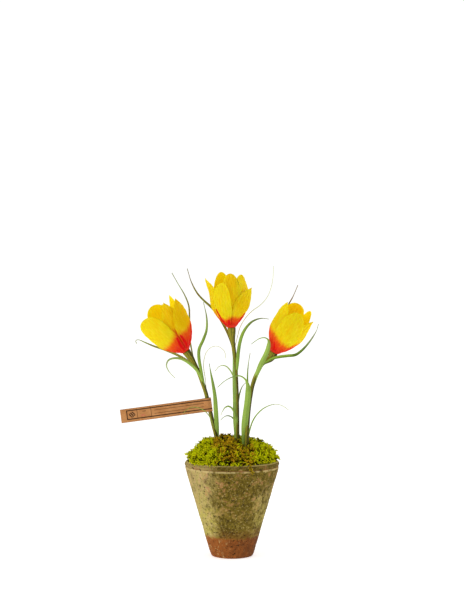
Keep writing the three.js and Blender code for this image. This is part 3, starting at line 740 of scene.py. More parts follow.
@dataclass(frozen=True)
class SoilFinish:
    """Dark crumbly potting soil."""

    dark: Colour = paint(34, 24, 16)
    light: Colour = paint(84, 62, 42)

    def material(self) -> bpy.types.Material:
        """Builds the material: two browns in crumbs.

        Returns:
            The material.
        """
        recipe = Recipe("soil")
        crumbs = recipe.noise(recipe.place(), 2.4, 5.0, 0.7)
        colour = recipe.mix(self.dark, self.light, crumbs.span(0.42, 0.7))
        return recipe.finish(Base_Color=colour, Roughness=0.95, Normal=recipe.relief(crumbs, 1.6))


@dataclass(frozen=True)
class MossFinish:
    """Branching moss: each frond runs from a dark root to a bright tip, green or golden brown; the dark
    roots are partly painted shade of the gaps between fronds.
    """

    # dark root colours: partly painted shade of the depths of the moss
    shaded_root_green: Colour = paint(30, 28, 0)
    tip_green: Colour = paint(208, 214, 12)
    shaded_root_brown: Colour = paint(28, 15, 1)
    tip_brown: Colour = paint(206, 164, 28)

    def material(self) -> bpy.types.Material:
        """Builds the material from the marks `tip` (0 root), `brown` (0 green) and `shade` (0 dark, partly
        random tone and partly painted light and shade).

        Returns:
            The material.
        """
        recipe = Recipe("moss")
        tip, brown, shade = recipe.marks("tip", "brown", "shade")
        fleck = recipe.noise(recipe.place(), 1.3, 2.0)
        # dark at the roots and where shade is low: painted shade of the gaps between fronds, with random
        # tone
        rise = (tip * 0.8 + shade * 0.95 - 0.48 + (fleck - 0.5) * 0.9).span(0.12, 0.84)
        green = recipe.mix(self.shaded_root_green, self.tip_green, rise)
        golden = recipe.mix(self.shaded_root_brown, self.tip_brown, rise)
        colour = recipe.mix(green, golden, brown)
        normal = recipe.relief(fleck, 0.3, 0.6)
        return recipe.finish(Base_Color=colour, Roughness=0.95, Normal=normal, Specular_IOR_Level=0.02)


@dataclass(frozen=True)
class StemFinish:
    """Stems wrapped in olive-tan paper with dark lengthwise streaks, and a darker right side that is painted
    shade.
    """

    tan: Colour = paint(160, 144, 40)
    olive: Colour = paint(110, 122, 24)
    dark: Colour = paint(38, 34, 6)

    def material(self) -> bpy.types.Material:
        """Builds the material from the marks `around` (radians) and `along` (millimetres).

        Returns:
            The material.
        """
        recipe = Recipe("stem_wrap")
        around, along = recipe.marks("around", "along")
        turned = recipe.vector(around.sine(), (around + math.pi / 2).sine(), along * 0.012)
        streaks = recipe.noise(turned, 0.45, 4.0, 0.6)
        fibres = recipe.noise(recipe.vector(around * 6.0, along * 0.35, 0.0), 1.0, 3.0)
        # the sine term darkens the right side of each stem: painted shade
        shade = (streaks + 0.28 * (around - 0.2).sine()).span(0.42, 0.6)
        colour = recipe.coats(self.olive, (self.tan, fibres.span(0.35, 0.65)), (self.dark, shade * 0.85))
        normal = recipe.relief(fibres, 0.25, 0.6)
        return recipe.finish(Base_Color=colour, Roughness=0.72, Normal=normal, Specular_IOR_Level=0.2)


@dataclass(frozen=True)
class LeafFinish:
    """Grass-like blades with fine lengthwise veins, from fresh green to dry brown, one half of each painted
    darker as shade and narrow pale ones washed towards white as painted glare.
    """

    fresh: Colour = paint(146, 182, 58)
    deep: Colour = paint(64, 94, 12)
    pale: Colour = paint(190, 216, 116)
    # near white: painted glare on narrow pale leaves, also used for the pale tips of narrow fresh ones
    fade_and_glare: Colour = paint(232, 238, 200)
    dry: Colour = paint(146, 106, 12)
    vein: Colour = paint(90, 118, 30)

    def material(self) -> bpy.types.Material:
        """Builds the material from the marks `along`, `across`, `width`, `dry` and `pale`.

        Returns:
            The material.
        """
        recipe = Recipe("leaf_blade")
        along, across, width, dry, pale = recipe.marks("along", "across", "width", "dry", "pale")
        veins = recipe.noise(recipe.vector(across * width * 2.2, along * 2.0, dry * 9.0), 0.5, 3.0)
        blotches = recipe.noise(recipe.place(), 18.0, 3.0)
        fade_and_glare_share = along.span(0.55, 1.0) * 0.75 * dry.span(0.3, 0.1) + pale.span(0.7, 1.0)
        colour = recipe.coats(
            self.fresh,
            (self.deep, (blotches * 0.8 + along * 0.35).span(0.45, 0.85)),
            (self.vein, veins.span(0.45, 0.7) * 0.6),
            (self.pale, pale),
            # one half of the blade darker: painted shade of its folded side
            (self.deep, across.span(-0.15, 0.35) * (1.0 - pale) * 0.55),
            (self.pale, abs(across).span(0.8, 1.0) * 0.2),
            # narrow pale leaves wash out towards white as painted glare; narrow fresh leaves also pale
            # towards their tips
            (self.fade_and_glare, fade_and_glare_share * width.span(4.5, 2.0)),
            (self.dry, (dry + (blotches - 0.5) * 0.6).span(0.25, 0.95)),
        )
        normal = recipe.relief(veins, 0.18, 0.7)
        return recipe.finish(Base_Color=colour, Roughness=0.6, Normal=normal, Specular_IOR_Level=0.25)


@dataclass(frozen=True)
class PetalFinish:
    """Crepe-like yellow petals that blush to orange and deep red at the base."""

    lemon: Colour = paint(222, 206, 18)
    golden: Colour = paint(231, 189, 0)
    creamy: Colour = paint(238, 216, 50)
    amber: Colour = paint(220, 172, 0)
    orange: Colour = paint(227, 88, 18)
    red: Colour = paint(216, 44, 22)
    deep: Colour = paint(212, 4, 12)
    # brighter yellow for the inner faces: painted light that lifts their shade
    inside: Colour = paint(250, 224, 10)
    black: Colour = paint(0, 0, 0)
    # strength of the glow of the inner faces: painted light
    glow: float = 0.13

    def material(self) -> bpy.types.Material:
        """Builds the material from the petal marks.

        `along` places a point on its petal, `wide` is its distance from the midline, `blush` is how
        far up the orange reaches, `fold` marks the seams, red lines that are partly painted shade where
        petals overlap, `inner` is 1 on the inside, `gold` makes a petal golden, and `petal` differs from
        petal to petal. The inside is painted a brighter yellow and glows a little: painted light that
        lifts its shade.

        Returns:
            The material.
        """
        recipe = Recipe("crocus_petal")
        along, wide, petal, blush = recipe.marks("along", "wide", "petal", "blush")
        fold, inner, gold = recipe.marks("fold", "inner", "gold")

        def grain(stretch: Point, size: float, detail: float, roughness: float = 0.55) -> Wire:
            """Noise stretched across and along the petal, set apart from petal to petal."""
            spots = recipe.vector(wide * stretch[0], along * stretch[1], petal * stretch[2])
            return recipe.noise(spots, size, detail, roughness)

        crepe = grain((1.1, 3.0, 7.0), 0.55, 4.0, 0.6)
        fine = grain((3.2, 9.0, 5.0), 0.6, 3.0, 0.6)
        clouds = grain((0.09, 1.6, 3.0), 0.6, 2.0)
        mottle = grain((0.45, 7.0, 4.0), 0.7, 3.0, 0.65)
        veins = grain((1.4, 1.2, 9.0), 0.6, 3.0).span(0.52, 0.66)
        tone = gold * 0.8 + (clouds - 0.5) * 1.5 + (crepe - 0.5) * 1.9 + 0.12
        ragged = along + (crepe - 0.5) * 0.2 + (fine - 0.5) * 0.08
        colour = recipe.coats(
            self.lemon,
            (self.golden, tone.span(0.0, 1.0)),
            (self.creamy, mottle.span(0.5, 0.7) * 0.5),
            (self.amber, mottle.span(0.5, 0.3) * 0.55),
            # inner faces brighter: painted light that lifts their shade
            (self.inside, inner * (0.9 - 0.4 * crepe) * (1.0 - 0.7 * gold)),
            (self.orange, (ragged - blush).span(0.07, -0.06)),
            (self.red, (ragged - blush * 0.68).span(0.09, -0.10) * 0.95),
            (self.deep, veins * (ragged - blush).span(0.04, -0.16) * 0.6),
            # deep red along the seams: partly a red tint and partly painted shade where petals overlap
            (self.deep, (fold * (0.8 + 0.5 * fine)).span(0.1, 0.5)),
        )
        return recipe.finish(
            Base_Color=colour,
            # the inner faces glow: painted light
            Emission_Color=recipe.mix(self.black, colour, inner),
            Emission_Strength=self.glow,
            Roughness=0.7,
            Normal=recipe.relief(crepe * 0.6 + fine * 0.4, 0.3, 0.8),
            Specular_IOR_Level=0.06,
            Subsurface_Weight=0.8,
            Subsurface_Radius=(1.4, 1.25, 0.08),
            Subsurface_Scale=0.0007,
        )


@dataclass(frozen=True)
class StamenFinish:
    """Pale filaments with orange pollen at their ends."""

    filament: Colour = paint(238, 196, 60)
    pollen: Colour = paint(226, 130, 14)

    def material(self) -> bpy.types.Material:
        """Builds the material from the mark `pollen`.

        Returns:
            The material.
        """
        recipe = Recipe("stamen")
        grains = recipe.noise(recipe.place(), 0.35, 2.0, 0.7)
        (pollen,) = recipe.marks("pollen")
        colour = recipe.mix(self.filament, self.pollen, pollen * (0.7 + 0.5 * grains))
        return recipe.finish(Base_Color=colour, Roughness=0.75, Normal=recipe.relief(grains, 0.15))


@dataclass(frozen=True)
class CardFinish:
    """Kraft card with flecks, a printed frame, dividers and a plain ornament."""

    card: Colour = paint(196, 140, 88)
    card_dark: Colour = paint(170, 112, 62)
    fleck: Colour = paint(124, 76, 38)
    ink: Colour = paint(40, 26, 22)
    pink: Colour = paint(206, 92, 88)
    frame_left: float = 7.0
    frame_top: float = 5.1
    frame_foot: float = -4.3
    dividers: tuple[float, float] = (18.2, 33.4)
    half_line: float = 0.525
    ease: float = 0.12

    def stripe(self, value: Wire, middle: float, half: float, soft: float = 0.16) -> Wire:
        """1 within half of middle, easing to 0 outside."""
        return abs(value - middle).span(half + soft, half - soft)

    def between(self, value: Wire, low: float, high: float) -> Wire:
        """1 between low and high, with a short ease at both."""
        ease = self.ease
        return value.span(low - ease, low + ease) * value.span(high + ease, high - ease)

    def frame_lines(self, u: Wire, v: Wire) -> Wire:
        """The printed frame and its two dividers.

        Args:
            u: millimetres along the card.
            v: millimetres across it.

        Returns:
            1 on the ink, 0 off it.
        """
        half = self.half_line
        left = self.frame_left - half
        tall = self.between(v, self.frame_foot - half, self.frame_top + half)
        rules = self.stripe(v, self.frame_top, half).most(self.stripe(v, self.frame_foot, half))
        lines = rules * u.span(left - self.ease, left + self.ease)
        lines = lines.most(self.stripe(u, self.frame_left, half) * tall)
        for divider in self.dividers:
            lines = lines.most(self.stripe(u, divider, half * 0.6) * tall * 0.75)
        return lines

    def ornaments(self, u: Wire, v: Wire) -> Wire:
        """A hatched lozenge in the first cell, a dash in the second, and two ruled lines.

        Args:
            u: millimetres along the card.
            v: millimetres across it.

        Returns:
            1 on the ink, 0 off it.
        """
        lozenge = (abs(u - 12.6) / 4.4 + abs(v - 0.3) / 3.7).span(1.06, 0.94)
        hatch = ((u * 2.6 + v * 1.5).sine() * 0.5 + (v * 3.4 - u).sine() * 0.5).span(-0.4, 0.1)
        dash = self.between(u, 24.2, 27.8) * self.stripe(v, 2.6, 0.3)
        rules = self.stripe(v, 2.1, 0.3, 0.06).most(self.stripe(v, -1.5, 0.3, 0.06))
        return (lozenge * hatch).most(dash).most(self.between(u, 37.0, 92.0) * rules * 0.75)

    def material(self) -> bpy.types.Material:
        """Builds the material from the marks `u` and `v` (millimetres on the card) and `front`.

        Returns:
            The material.
        """
        recipe = Recipe("kraft_card")
        place = recipe.place()
        u, v, front = recipe.marks("u", "v", "front")
        fibres = recipe.noise(recipe.vector(u * 0.35, v * 1.4, front), 0.9, 4.0, 0.65)
        clouds = recipe.noise(place, 9.0, 3.0)
        specks = recipe.noise(recipe.vector(u, v * 1.8, front * 5.0), 0.55, 2.0).span(0.66, 0.78)
        worn = recipe.noise(place, 0.8, 2.0).span(0.2, 0.5)
        printed = self.frame_lines(u, v).most(self.ornaments(u, v)) * front
        dab = self.between(u, 22.0, 26.6) * self.between(v, -2.6, -0.9) * front
        colour = recipe.coats(
            self.card,
            (self.card_dark, (fibres * 0.6 + clouds * 0.5).span(0.42, 0.75)),
            (self.fleck, specks * 0.7),
            (self.pink, dab * fibres.span(0.35, 0.6) * 0.7),
            (self.ink, printed * (0.72 + 0.28 * worn)),
            (self.fleck, abs(v).span(6.7, 7.4) * 0.3),
        )
        normal = recipe.relief(fibres, 0.12, 0.6)
        return recipe.finish(Base_Color=colour, Roughness=0.85, Normal=normal, Specular_IOR_Level=0.1)


# ------------------------------------------------------------------ pot and soil


@dataclass
class Pot:
    """A conical clay pot with a lip band and a groove under it."""

    height: float = 102.3
    rim_radius: float = 51.0
    base_radius: float = 22.5
    slope: float = 0.296
    band: float = 5.3
    groove: float = 1.2
    wall: float = 5.0
    floor: float = 7.0
    sides: int = 240
    steps: int = 150

    def wall_radius(self, z: float) -> float:
        """Outer radius at a height."""
        return self.base_radius + self.slope * z

    def profile(self) -> Array:
        """Radius and height down the skin: base, wall, groove, band, rim, and the inside.

        Returns:
            Pairs of radius and height, shape (n, 2).
        """
        foot = self.height - self.band
        inner_rim = self.wall_radius(self.height - 3) - self.wall
        corners = [
            (self.base_radius - 1.8, 0.0),
            (self.base_radius - 0.5, 0.5),
            (self.wall_radius(2.2), 2.2),
            (self.wall_radius(24), 24.0),
            (self.wall_radius(48), 48.0),
            (self.wall_radius(72), 72.0),
            (self.wall_radius(foot - 4), foot - 4),
            (self.wall_radius(foot - 1.8) - 0.25, foot - 1.8),
            (self.wall_radius(foot) - self.groove, foot - 0.4),
            (self.rim_radius - 0.6, foot + 0.4),
            (self.rim_radius - 0.1, foot + 1.2),
            (self.rim_radius, foot + 2.2),
            (self.rim_radius - 0.5, self.height - 1.7),
            (self.rim_radius - 1.2, self.height - 0.7),
            (self.rim_radius - 2.3, self.height),
            (inner_rim + 0.9, self.height - 0.5),
            (inner_rim + 0.2, self.height - 1.8),
            (inner_rim, self.height - 3.5),
            (self.wall_radius(50) - self.wall, 50.0),
            (self.wall_radius(self.floor + 2) - self.wall, self.floor + 2),
            (self.base_radius - self.wall - 1, self.floor),
        ]
        curve = Curve([(radius, 0.0, z) for radius, z in corners])
        placed = curve.at(np.linspace(0.0, 1.0, self.steps * 2))
        return placed[:, [0, 2]]

    def relief(self, points: Array) -> Array:
        """How far the skin stands out: soft dents, crust, wheel lines, and chips on the rim.

        Args:
            points: places on the plain skin.

        Returns:
            Millimetres outwards.
        """
        z = points[..., 2]
        crust = 0.26 * lumps(points, 11.0, 1) + 0.14 * lumps(points, 4.0, 2) + 0.07 * lumps(points, 1.6, 3)
        wheel = 0.05 * np.sin(z * 2.1 + 2.0 * lumps(points, 20.0, 4))
        chips = -0.8 * smooth((lumps(points, 4.5, 5) - 0.42) * 4) * smooth((z - self.height + 2.4) / 1.6)
        return (crust + wheel + chips) * smooth(z / 1.2)

    def build(self) -> bpy.types.Object:
        """Turns the profile round +Z and raises its relief outwards.

        Returns:
            The pot's piece.
        """
        profile = self.profile()
        angle = round_angles(self.sides)
        skin = turned_profile(profile[:, :1], profile[:, 1:], angle)
        slope = unit(np.gradient(profile, axis=0))
        outward = turned_profile(slope[:, 1:], -slope[:, :1], angle)
        skin = skin + outward * self.relief(skin)[..., None]
        skin[..., 2] = np.maximum(skin[..., 2], 0.0)
        surface = poled(skin, (0.0, 0.0, 0.0), (0.0, 0.0, self.floor))
        pot = make_object("pot_clay", surface, AgedClayFinish().material())
        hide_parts("pot")
        return pot


# ------------------------------------------------------------------ moss


@dataclass
class MossMound:
    """The shape of the moss: a flat-topped dome of cushions that laps over the pot's rim."""

    rim_height: float = 102.3
    rise: float = 23.3
    radius: float = 49.4
    foot: float = 92.3
    foot_radius: float = 43.9
    throat: float = 46.5
    sink: float = 4.0
    sides: int = 180
    rings: int = 60
    hills: tuple[tuple[float, float, float, float, float], ...] = (
        (-29.0, -6.0, 8.0, 16.0, 2.0),
        (-42.5, 0.0, 5.0, 26.0, -3.5),
        (-20.5, -4.0, 3.2, 24.0, -2.4),
        (-11.0, -4.0, 7.0, 16.0, 1.8),
        (4.5, -12.0, 5.5, 13.0, -5.5),
        (14.6, -21.0, 5.0, 17.0, -14.0),
        (25.0, -6.0, 6.0, 20.0, -2.5),
        (33.0, -8.0, 5.5, 14.0, 1.6),
    )

    def edge_radius(self, angle: Array) -> Array:
        """Where the mound ends: it draws back from the rim at the front right and far left.

        Args:
            angle: directions in radians, -pi to pi.

        Returns:
            The mound's radius in each direction.
        """
        right = np.exp(-(((angle + math.radians(38)) / math.radians(24)) ** 4))
        turned = np.where(angle > 0, angle - 2 * math.pi, angle)
        left = np.exp(-(((turned + math.radians(162)) / math.radians(13)) ** 2))
        return self.radius - 3.0 * right - 2.2 * left

    def swell(self, x: Array, y: Array) -> Array:
        """Height of the hills and dips: bells of their own half widths across and along.

        Args:
            x: places to the right.
            y: places to the back.

        Returns:
            Millimetres upwards.
        """
        total = 0.0 * x
        for middle_x, middle_y, half_x, half_y, height in self.hills:
            across, along = (x - middle_x) / half_x, (y - middle_y) / half_y
            total = total + height * np.exp(-(across**2) - along**4)
        return total

    def relief(self, x: Array, y: Array, share: Array) -> Array:
        """Cushions with smaller tufts, fading out at the rim, as products of sines.

        Args:
            x: places to the right.
            y: places to the back.
            share: distance from the middle as a share of the edge's.

        Returns:
            Millimetres outwards.
        """
        cushions = np.sin(0.48 * x + 1.3 * np.sin(0.2 * y)) * np.cos(0.48 * y + 1.3 * np.sin(0.2 * x))
        tufts = np.sin(0.8 * x - 0.33 * y) * np.sin(0.8 * y + 0.33 * x + 1.9)
        return (1.7 * cushions + 0.9 * tufts) * smooth((1 - share) * 9)

    def point(self, share: Array, angle: Array, sink: Array | float = 0.0) -> Array:
        """Points of the mound's top.

        Args:
            share: distance from the middle as a share of the mound's radius.
            angle: direction in radians, -pi to pi.
            sink: how far inside the skin, in millimetres.

        Returns:
            Points on the dome, their relief raised away from the middle of the mound.
        """
        edge = self.edge_radius(angle)
        radius = share * edge
        inner = radius / (edge + 1.0)
        dome = self.rise * (1 - inner**2.6) ** 0.75
        x, y = radius * np.cos(angle), radius * np.sin(angle)
        outward = unit(np.stack([x, y, dome + 12.0], -1))
        z = self.rim_height + 1.2 + dome + self.swell(x, y) * clamp01((1 - inner) * 9)
        return np.stack([x, y, z], -1) + outward * (self.relief(x, y, inner) - sink)[..., None]

    def normal(self, share: Array, angle: Array) -> Array:
        """Directions out of the mound, from differences between neighbouring points.

        Args:
            share: distance from the middle as a share of the mound's radius.
            angle: direction in radians.

        Returns:
            Directions of length 1.
        """
        step = 0.012
        outer = self.point(np.minimum(share + step, 1.0), angle) - self.point(share - step, angle)
        round_step = 0.6 / np.maximum(share * self.radius, 1.0)
        around = self.point(share, angle + round_step) - self.point(share, angle - round_step)
        return unit(np.cross(outer, around))

    def cushion(self, material: bpy.types.Material) -> bpy.types.Object:
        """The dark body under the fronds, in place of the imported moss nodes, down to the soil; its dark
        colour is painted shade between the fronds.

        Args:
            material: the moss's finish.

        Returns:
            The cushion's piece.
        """
        angle = np.linspace(-math.pi, math.pi, self.sides, endpoint=False)
        radius = np.array([[self.foot_radius], [self.throat]])
        low = turned_profile(radius, np.array([[self.foot], [self.rim_height - 2.4]]), angle)
        lip = self.point(np.ones(self.sides), angle, self.sink)
        lip[:, 2] = self.rim_height + 0.5
        share = np.linspace(1.0, 0.02, self.rings)[:, None] ** 0.9
        top = self.point(share + 0 * angle, angle + 0 * share, self.sink)
        skin = np.concatenate([low, lip[None] * [0.985, 0.985, 1.0], top])
        summit = self.point(np.array([0.0]), np.array([0.0]), self.sink)[0]
        surface = poled(skin, (0.0, 0.0, self.foot), summit)
        x, y, z = surface.points.T
        # a low tip and zero shade keep the cushion in the dark root colours: painted shade under the fronds
        surface.marks["tip"] = 0.1 * clamp01(lumps(surface.points, 2.2, 8))
        surface.marks["brown"] = brownness(x, y, z)
        surface.marks["shade"] = 0 * x
        made = make_object("moss_cushion", surface, material)
        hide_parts("moss_left", "moss_centre", "moss_right")
        return made


def brownness(x: Array, y: Array, z: Array) -> Array:
    """Share of brown in the moss: most on the middle's crown, some down its front, little aside.

    Args:
        x: places to the right.
        y: places to the back.
        z: heights.

    Returns:
        Shares from 0 to 1.
    """
    crown = smooth((x + 22) / 4) * smooth((5 - x) / 5) * smooth((z - 113) / 7)
    middle = smooth((x + 18) / 9) * smooth((27 - x) / 8) * smooth((122 - z) / 6)
    right_top = smooth((x - 24) / 5) * smooth((46 - x) / 5) * smooth((z - 118) / 4)
    back = smooth((y - 5) / 10)
    return clamp01(0.04 + (0.9 * crown + 0.66 * middle * (1 - crown)) * (1 - 0.7 * back) + 0.45 * right_top)


@dataclass
class Fronds:
    """Branching fronds, each a main shoot and three side shoots, all grown at once.

    Args:
        root: foot of each frond, shape (n, 3).
        growth: direction of each, shape (n, 3).
        length: length of each main shoot.
        radius: thickness at the foot.
        brown: share of brown in each.
        shade: brightness of each, 0 to 1: random tone, and in the clumps also painted light and shade.
        reach: no point goes further from the pot's axis than this.
    """

    root: Array
    growth: Array
    length: Array
    radius: float
    brown: Array
    shade: Array
    reach: float = 53.0

    STARTS = (0.25, 0.48, 0.7)
    TAPER = (1.0, 0.95, 0.85, 0.55)
    SIDE_TAPER = (0.85, 0.8, 0.5)

    def shoot(self, path: Array, thick: Array, tip: Array) -> Surface:
        """One shoot of every frond, with its marks."""
        marks = {"tip": tip, "brown": self.brown[:, None], "shade": self.shade[:, None]}
        return rods(path, thick, 3, marks)

    def surface(self, rng: np.random.Generator) -> Surface:
        """Grows the fronds.

        A shoot's points are root + t * length * growth, bent aside by t^2. A side shoot starts on
        the main shoot and leaves it at about 50 degrees, to the left and right in turn.

        Args:
            rng: the moss's own random numbers.

        Returns:
            The closed skins, with the marks `tip`, `brown` and `shade`.
        """
        root, growth, length = self.root, self.growth, self.length
        count = len(root)
        aside = unit(np.cross(growth, rng.normal(size=root.shape)))
        bend = unit(np.cross(growth, rng.normal(size=root.shape))) * 0.35
        t = np.linspace(0.0, 1.0, len(self.TAPER))[None, :, None]
        main = root[:, None] + length[:, None, None] * (growth[:, None] * t + bend[:, None] * t**2)
        thick = np.array(self.TAPER)[None] * self.radius * rng.uniform(0.8, 1.15, (count, 1))
        skins = [self.shoot(main, thick, t[..., 0])]
        s = np.linspace(0.0, 1.0, len(self.SIDE_TAPER))[None, :, None]
        for index, start in enumerate(self.STARTS):
            sign = 1.0 if index % 2 else -1.0
            foot = root + length[:, None] * (growth * start + bend * start**2)
            out = unit(growth + aside * sign * rng.uniform(0.9, 1.5, (count, 1)) + bend)
            span = (length * rng.uniform(0.34, 0.5, count))[:, None, None]
            side = foot[:, None] + span * (out[:, None] * s + growth[:, None] * 0.25 * s**2)
            thin = np.array(self.SIDE_TAPER)[None] * self.radius
            skins.append(self.shoot(side, thin, start + (1 - start) * s[..., 0]))
        whole = joined(skins)
        away = np.linalg.norm(whole.points[:, :2], axis=1, keepdims=True)
        whole.points[:, :2] *= np.minimum(1.0, self.reach / np.maximum(away, 1.0))
        return whole


@dataclass
class MossClump:
    """The fronds of one clump of moss, in tufts that stand between two partings of the mound."""

    node: str
    slot: str
    left_edge: Callable[[Array], Array]
    right_edge: Callable[[Array], Array]
    mound: MossMound
    seed: int
    # brightness of the clump; the left clump's higher value and the right's lower are partly painted light
    # from the left
    shade: float = 0.5

    TUFTS = 600
    PER_TUFT = 9
    TUFT_RADIUS = 1.8
    TUFT_HEIGHTS = (-1.7, 1.1)
    TUFT_SHADES = 0.28
    LENGTH = 4.9
    LENGTHS = (0.65, 1.2)
    SINK = 4.1
    SPLAY = 1.05
    FROND_RADIUS = 0.6
    FROND_SHADES = 0.27

    def tufts(self, rng: np.random.Generator) -> tuple[Array, Array]:
        """Spreads tufts evenly over the mound, and keeps those between the partings.

        Tuft i lies at the square root of i as a share of the radius, turned by i golden angles, and
        is shifted a little at random.

        Args:
            rng: the clump's own random numbers.

        Returns:
            Share of the mound's radius and angle of each tuft.
        """
        index = np.arange(self.TUFTS)
        share = np.sqrt((index + 0.5) / self.TUFTS) + rng.normal(0, 0.012, self.TUFTS)
        share = np.clip(share, 0.01, 0.995)
        angle = index * math.pi * (3 - math.sqrt(5)) + rng.normal(0, 0.02, self.TUFTS)
        angle = (angle + math.pi) % (2 * math.pi) - math.pi
        x, y, _ = self.mound.point(share, angle).T
        inside = (x > self.left_edge(y)) & (x < self.right_edge(y))
        return share[inside], angle[inside]

    def build(self, material: bpy.types.Material) -> bpy.types.Object:
        """Makes the clump's piece: in each tuft the fronds splay from a sunken middle.

        Args:
            material: the moss's finish.

        Returns:
            The clump's piece.
        """
        rng = np.random.default_rng(self.seed)
        share, angle = self.tufts(rng)
        height = rng.uniform(*self.TUFT_HEIGHTS, len(share))
        # raised tufts lighter and sunk ones darker: painted shade of the dips, on top of random tone
        tuft_shade = rng.normal(0.0, self.TUFT_SHADES, len(share)) + 0.14 * height
        middle = np.repeat(self.mound.point(share, angle, self.SINK - height), self.PER_TUFT, axis=0)
        normal = np.repeat(self.mound.normal(share, angle), self.PER_TUFT, axis=0)
        count = len(middle)
        aside = rng.normal(size=(count, 3))
        aside -= normal * np.sum(aside * normal, axis=1, keepdims=True)
        spread = unit(aside) * np.sqrt(rng.random((count, 1)))
        root = middle + spread * self.TUFT_RADIUS
        growth = unit(normal + spread * self.SPLAY + 0.22 * rng.normal(size=(count, 3)))
        length = self.LENGTH * rng.uniform(*self.LENGTHS, count)
        share_brown = brownness(root[:, 0], root[:, 1], root[:, 2])
        brown = clamp01(smooth((share_brown - rng.random(count)) * 3 + 0.5) + rng.normal(0, 0.05, count))
        own_shade = rng.normal(0, self.FROND_SHADES, count)
        shade = clamp01(self.shade + np.repeat(tuft_shade, self.PER_TUFT) + own_shade)
        fronds = Fronds(root, growth, length, self.FROND_RADIUS, brown, shade)
        made = make_object(f"{self.node}_fronds", fronds.surface(rng), material)
        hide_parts(self.node)
        return made


def left_parting(y: Array) -> Array:
    """Where the left and middle clumps part: x for a given y."""
    return -22 - 0.23 * y + 1.5 * np.sin(y / 9)


def right_parting(y: Array) -> Array:
    """Where the middle and right clumps part: x for a given y."""
    return 22.5 + 0.12 * y + 1.5 * np.sin(y / 8 + 1)


@dataclass
class StrayMoss:
    """Single fronds that hang over the rim or stand past it."""

    left_hang: tuple[float, float] = (-150.0, -122.0)
    front_hang: tuple[float, float] = (-122.0, -72.0)
    right_edge: tuple[float, float] = (-62.0, -14.0)
    right_tuft: Point = (47.2, -5.0, 105.2)
    golden: tuple[Point, ...] = (
        (17, -42, 107.5), (19, -48.4, 105.8), (20, -51.6, 102), (20.8, -52.2, 98.5), (21.8, -52.2, 95),
    )

    def rim_fringe(self, rng: np.random.Generator) -> Surface:
        """Fronds along the rim that lean outwards and down, most at the front left.

        Args:
            rng: the strays' random numbers.

        Returns:
            The fronds.
        """
        many, few = 95, 60
        spreads = [
            rng.uniform(*self.left_hang, many),
            rng.uniform(*self.front_hang, few),
            rng.uniform(*self.right_edge, few),
        ]
        angle = np.radians(np.concatenate(spreads))
        out = turned_profile(1.0, 0.0, angle)
        inset = 2.6 * smooth((np.degrees(angle) + 66) / 8)
        root = out * (rng.uniform(45.5, 49.5, len(angle)) - inset)[:, None]
        root[:, 2] = 103.6 + rng.uniform(-0.6, 2.0, len(angle))
        down = np.where(angle < math.radians(self.left_hang[1]), 0.75, 0.35)
        growth = out + 0.55 * rng.normal(size=root.shape)
        growth[:, 2] = np.minimum(growth[:, 2] - down * rng.uniform(0.2, 1.1, len(angle)), 0.25)
        brown = clamp01(rng.normal(0.12, 0.12, len(angle)))
        shade = rng.uniform(0.3, 1.0, len(angle))
        length = rng.uniform(2.4, 4.0, len(angle))
        return Fronds(root, unit(growth), length, 0.5, brown, shade).surface(rng)

    def side_tuft(self, rng: np.random.Generator) -> Surface:
        """A small tuft that stands past the rim on the right.

        Args:
            rng: the strays' random numbers.

        Returns:
            The fronds.
        """
        count = 26
        root = np.array(self.right_tuft) + rng.normal(0, 1.0, (count, 3)) * [0.6, 2.2, 0.5]
        growth = unit(np.array([0.75, -0.15, 0.5]) + 0.45 * rng.normal(size=root.shape))
        length = rng.uniform(2.5, 4.2, count)
        shade = rng.uniform(0.4, 1.0, count)
        return Fronds(root, growth, length, 0.48, np.full(count, 0.1), shade).surface(rng)

    def golden_strand(self, rng: np.random.Generator) -> Surface:
        """A few golden shoots that trail down over the front of the rim.

        Args:
            rng: the strays' random numbers.

        Returns:
            The fronds.
        """
        count = 30
        curve = Curve(self.golden)
        share = np.linspace(0.0, 0.96, count)
        root = curve.at(share) + rng.normal(0, 0.45, (count, 3)) * [1.6, 0.2, 0.5]
        growth = unit(curve.along(share) + 0.6 * rng.normal(size=root.shape) * [1.0, 0.2, 0.5])
        shade = rng.uniform(0.4, 1.0, count)
        length = rng.uniform(2.2, 3.8, count)
        return Fronds(root, growth, length, 0.45, np.full(count, 0.85), shade).surface(rng)

    def build(self, material: bpy.types.Material) -> bpy.types.Object:
        """Makes the strays into one piece.

        Args:
            material: the moss's finish.

        Returns:
            The strays' piece.
        """
        rng = np.random.default_rng(77)
        surface = joined([self.rim_fringe(rng), self.side_tuft(rng), self.golden_strand(rng)])
        made = make_object("moss_strays", surface, material)
        return made


# ------------------------------------------------------------------ stems and leaves


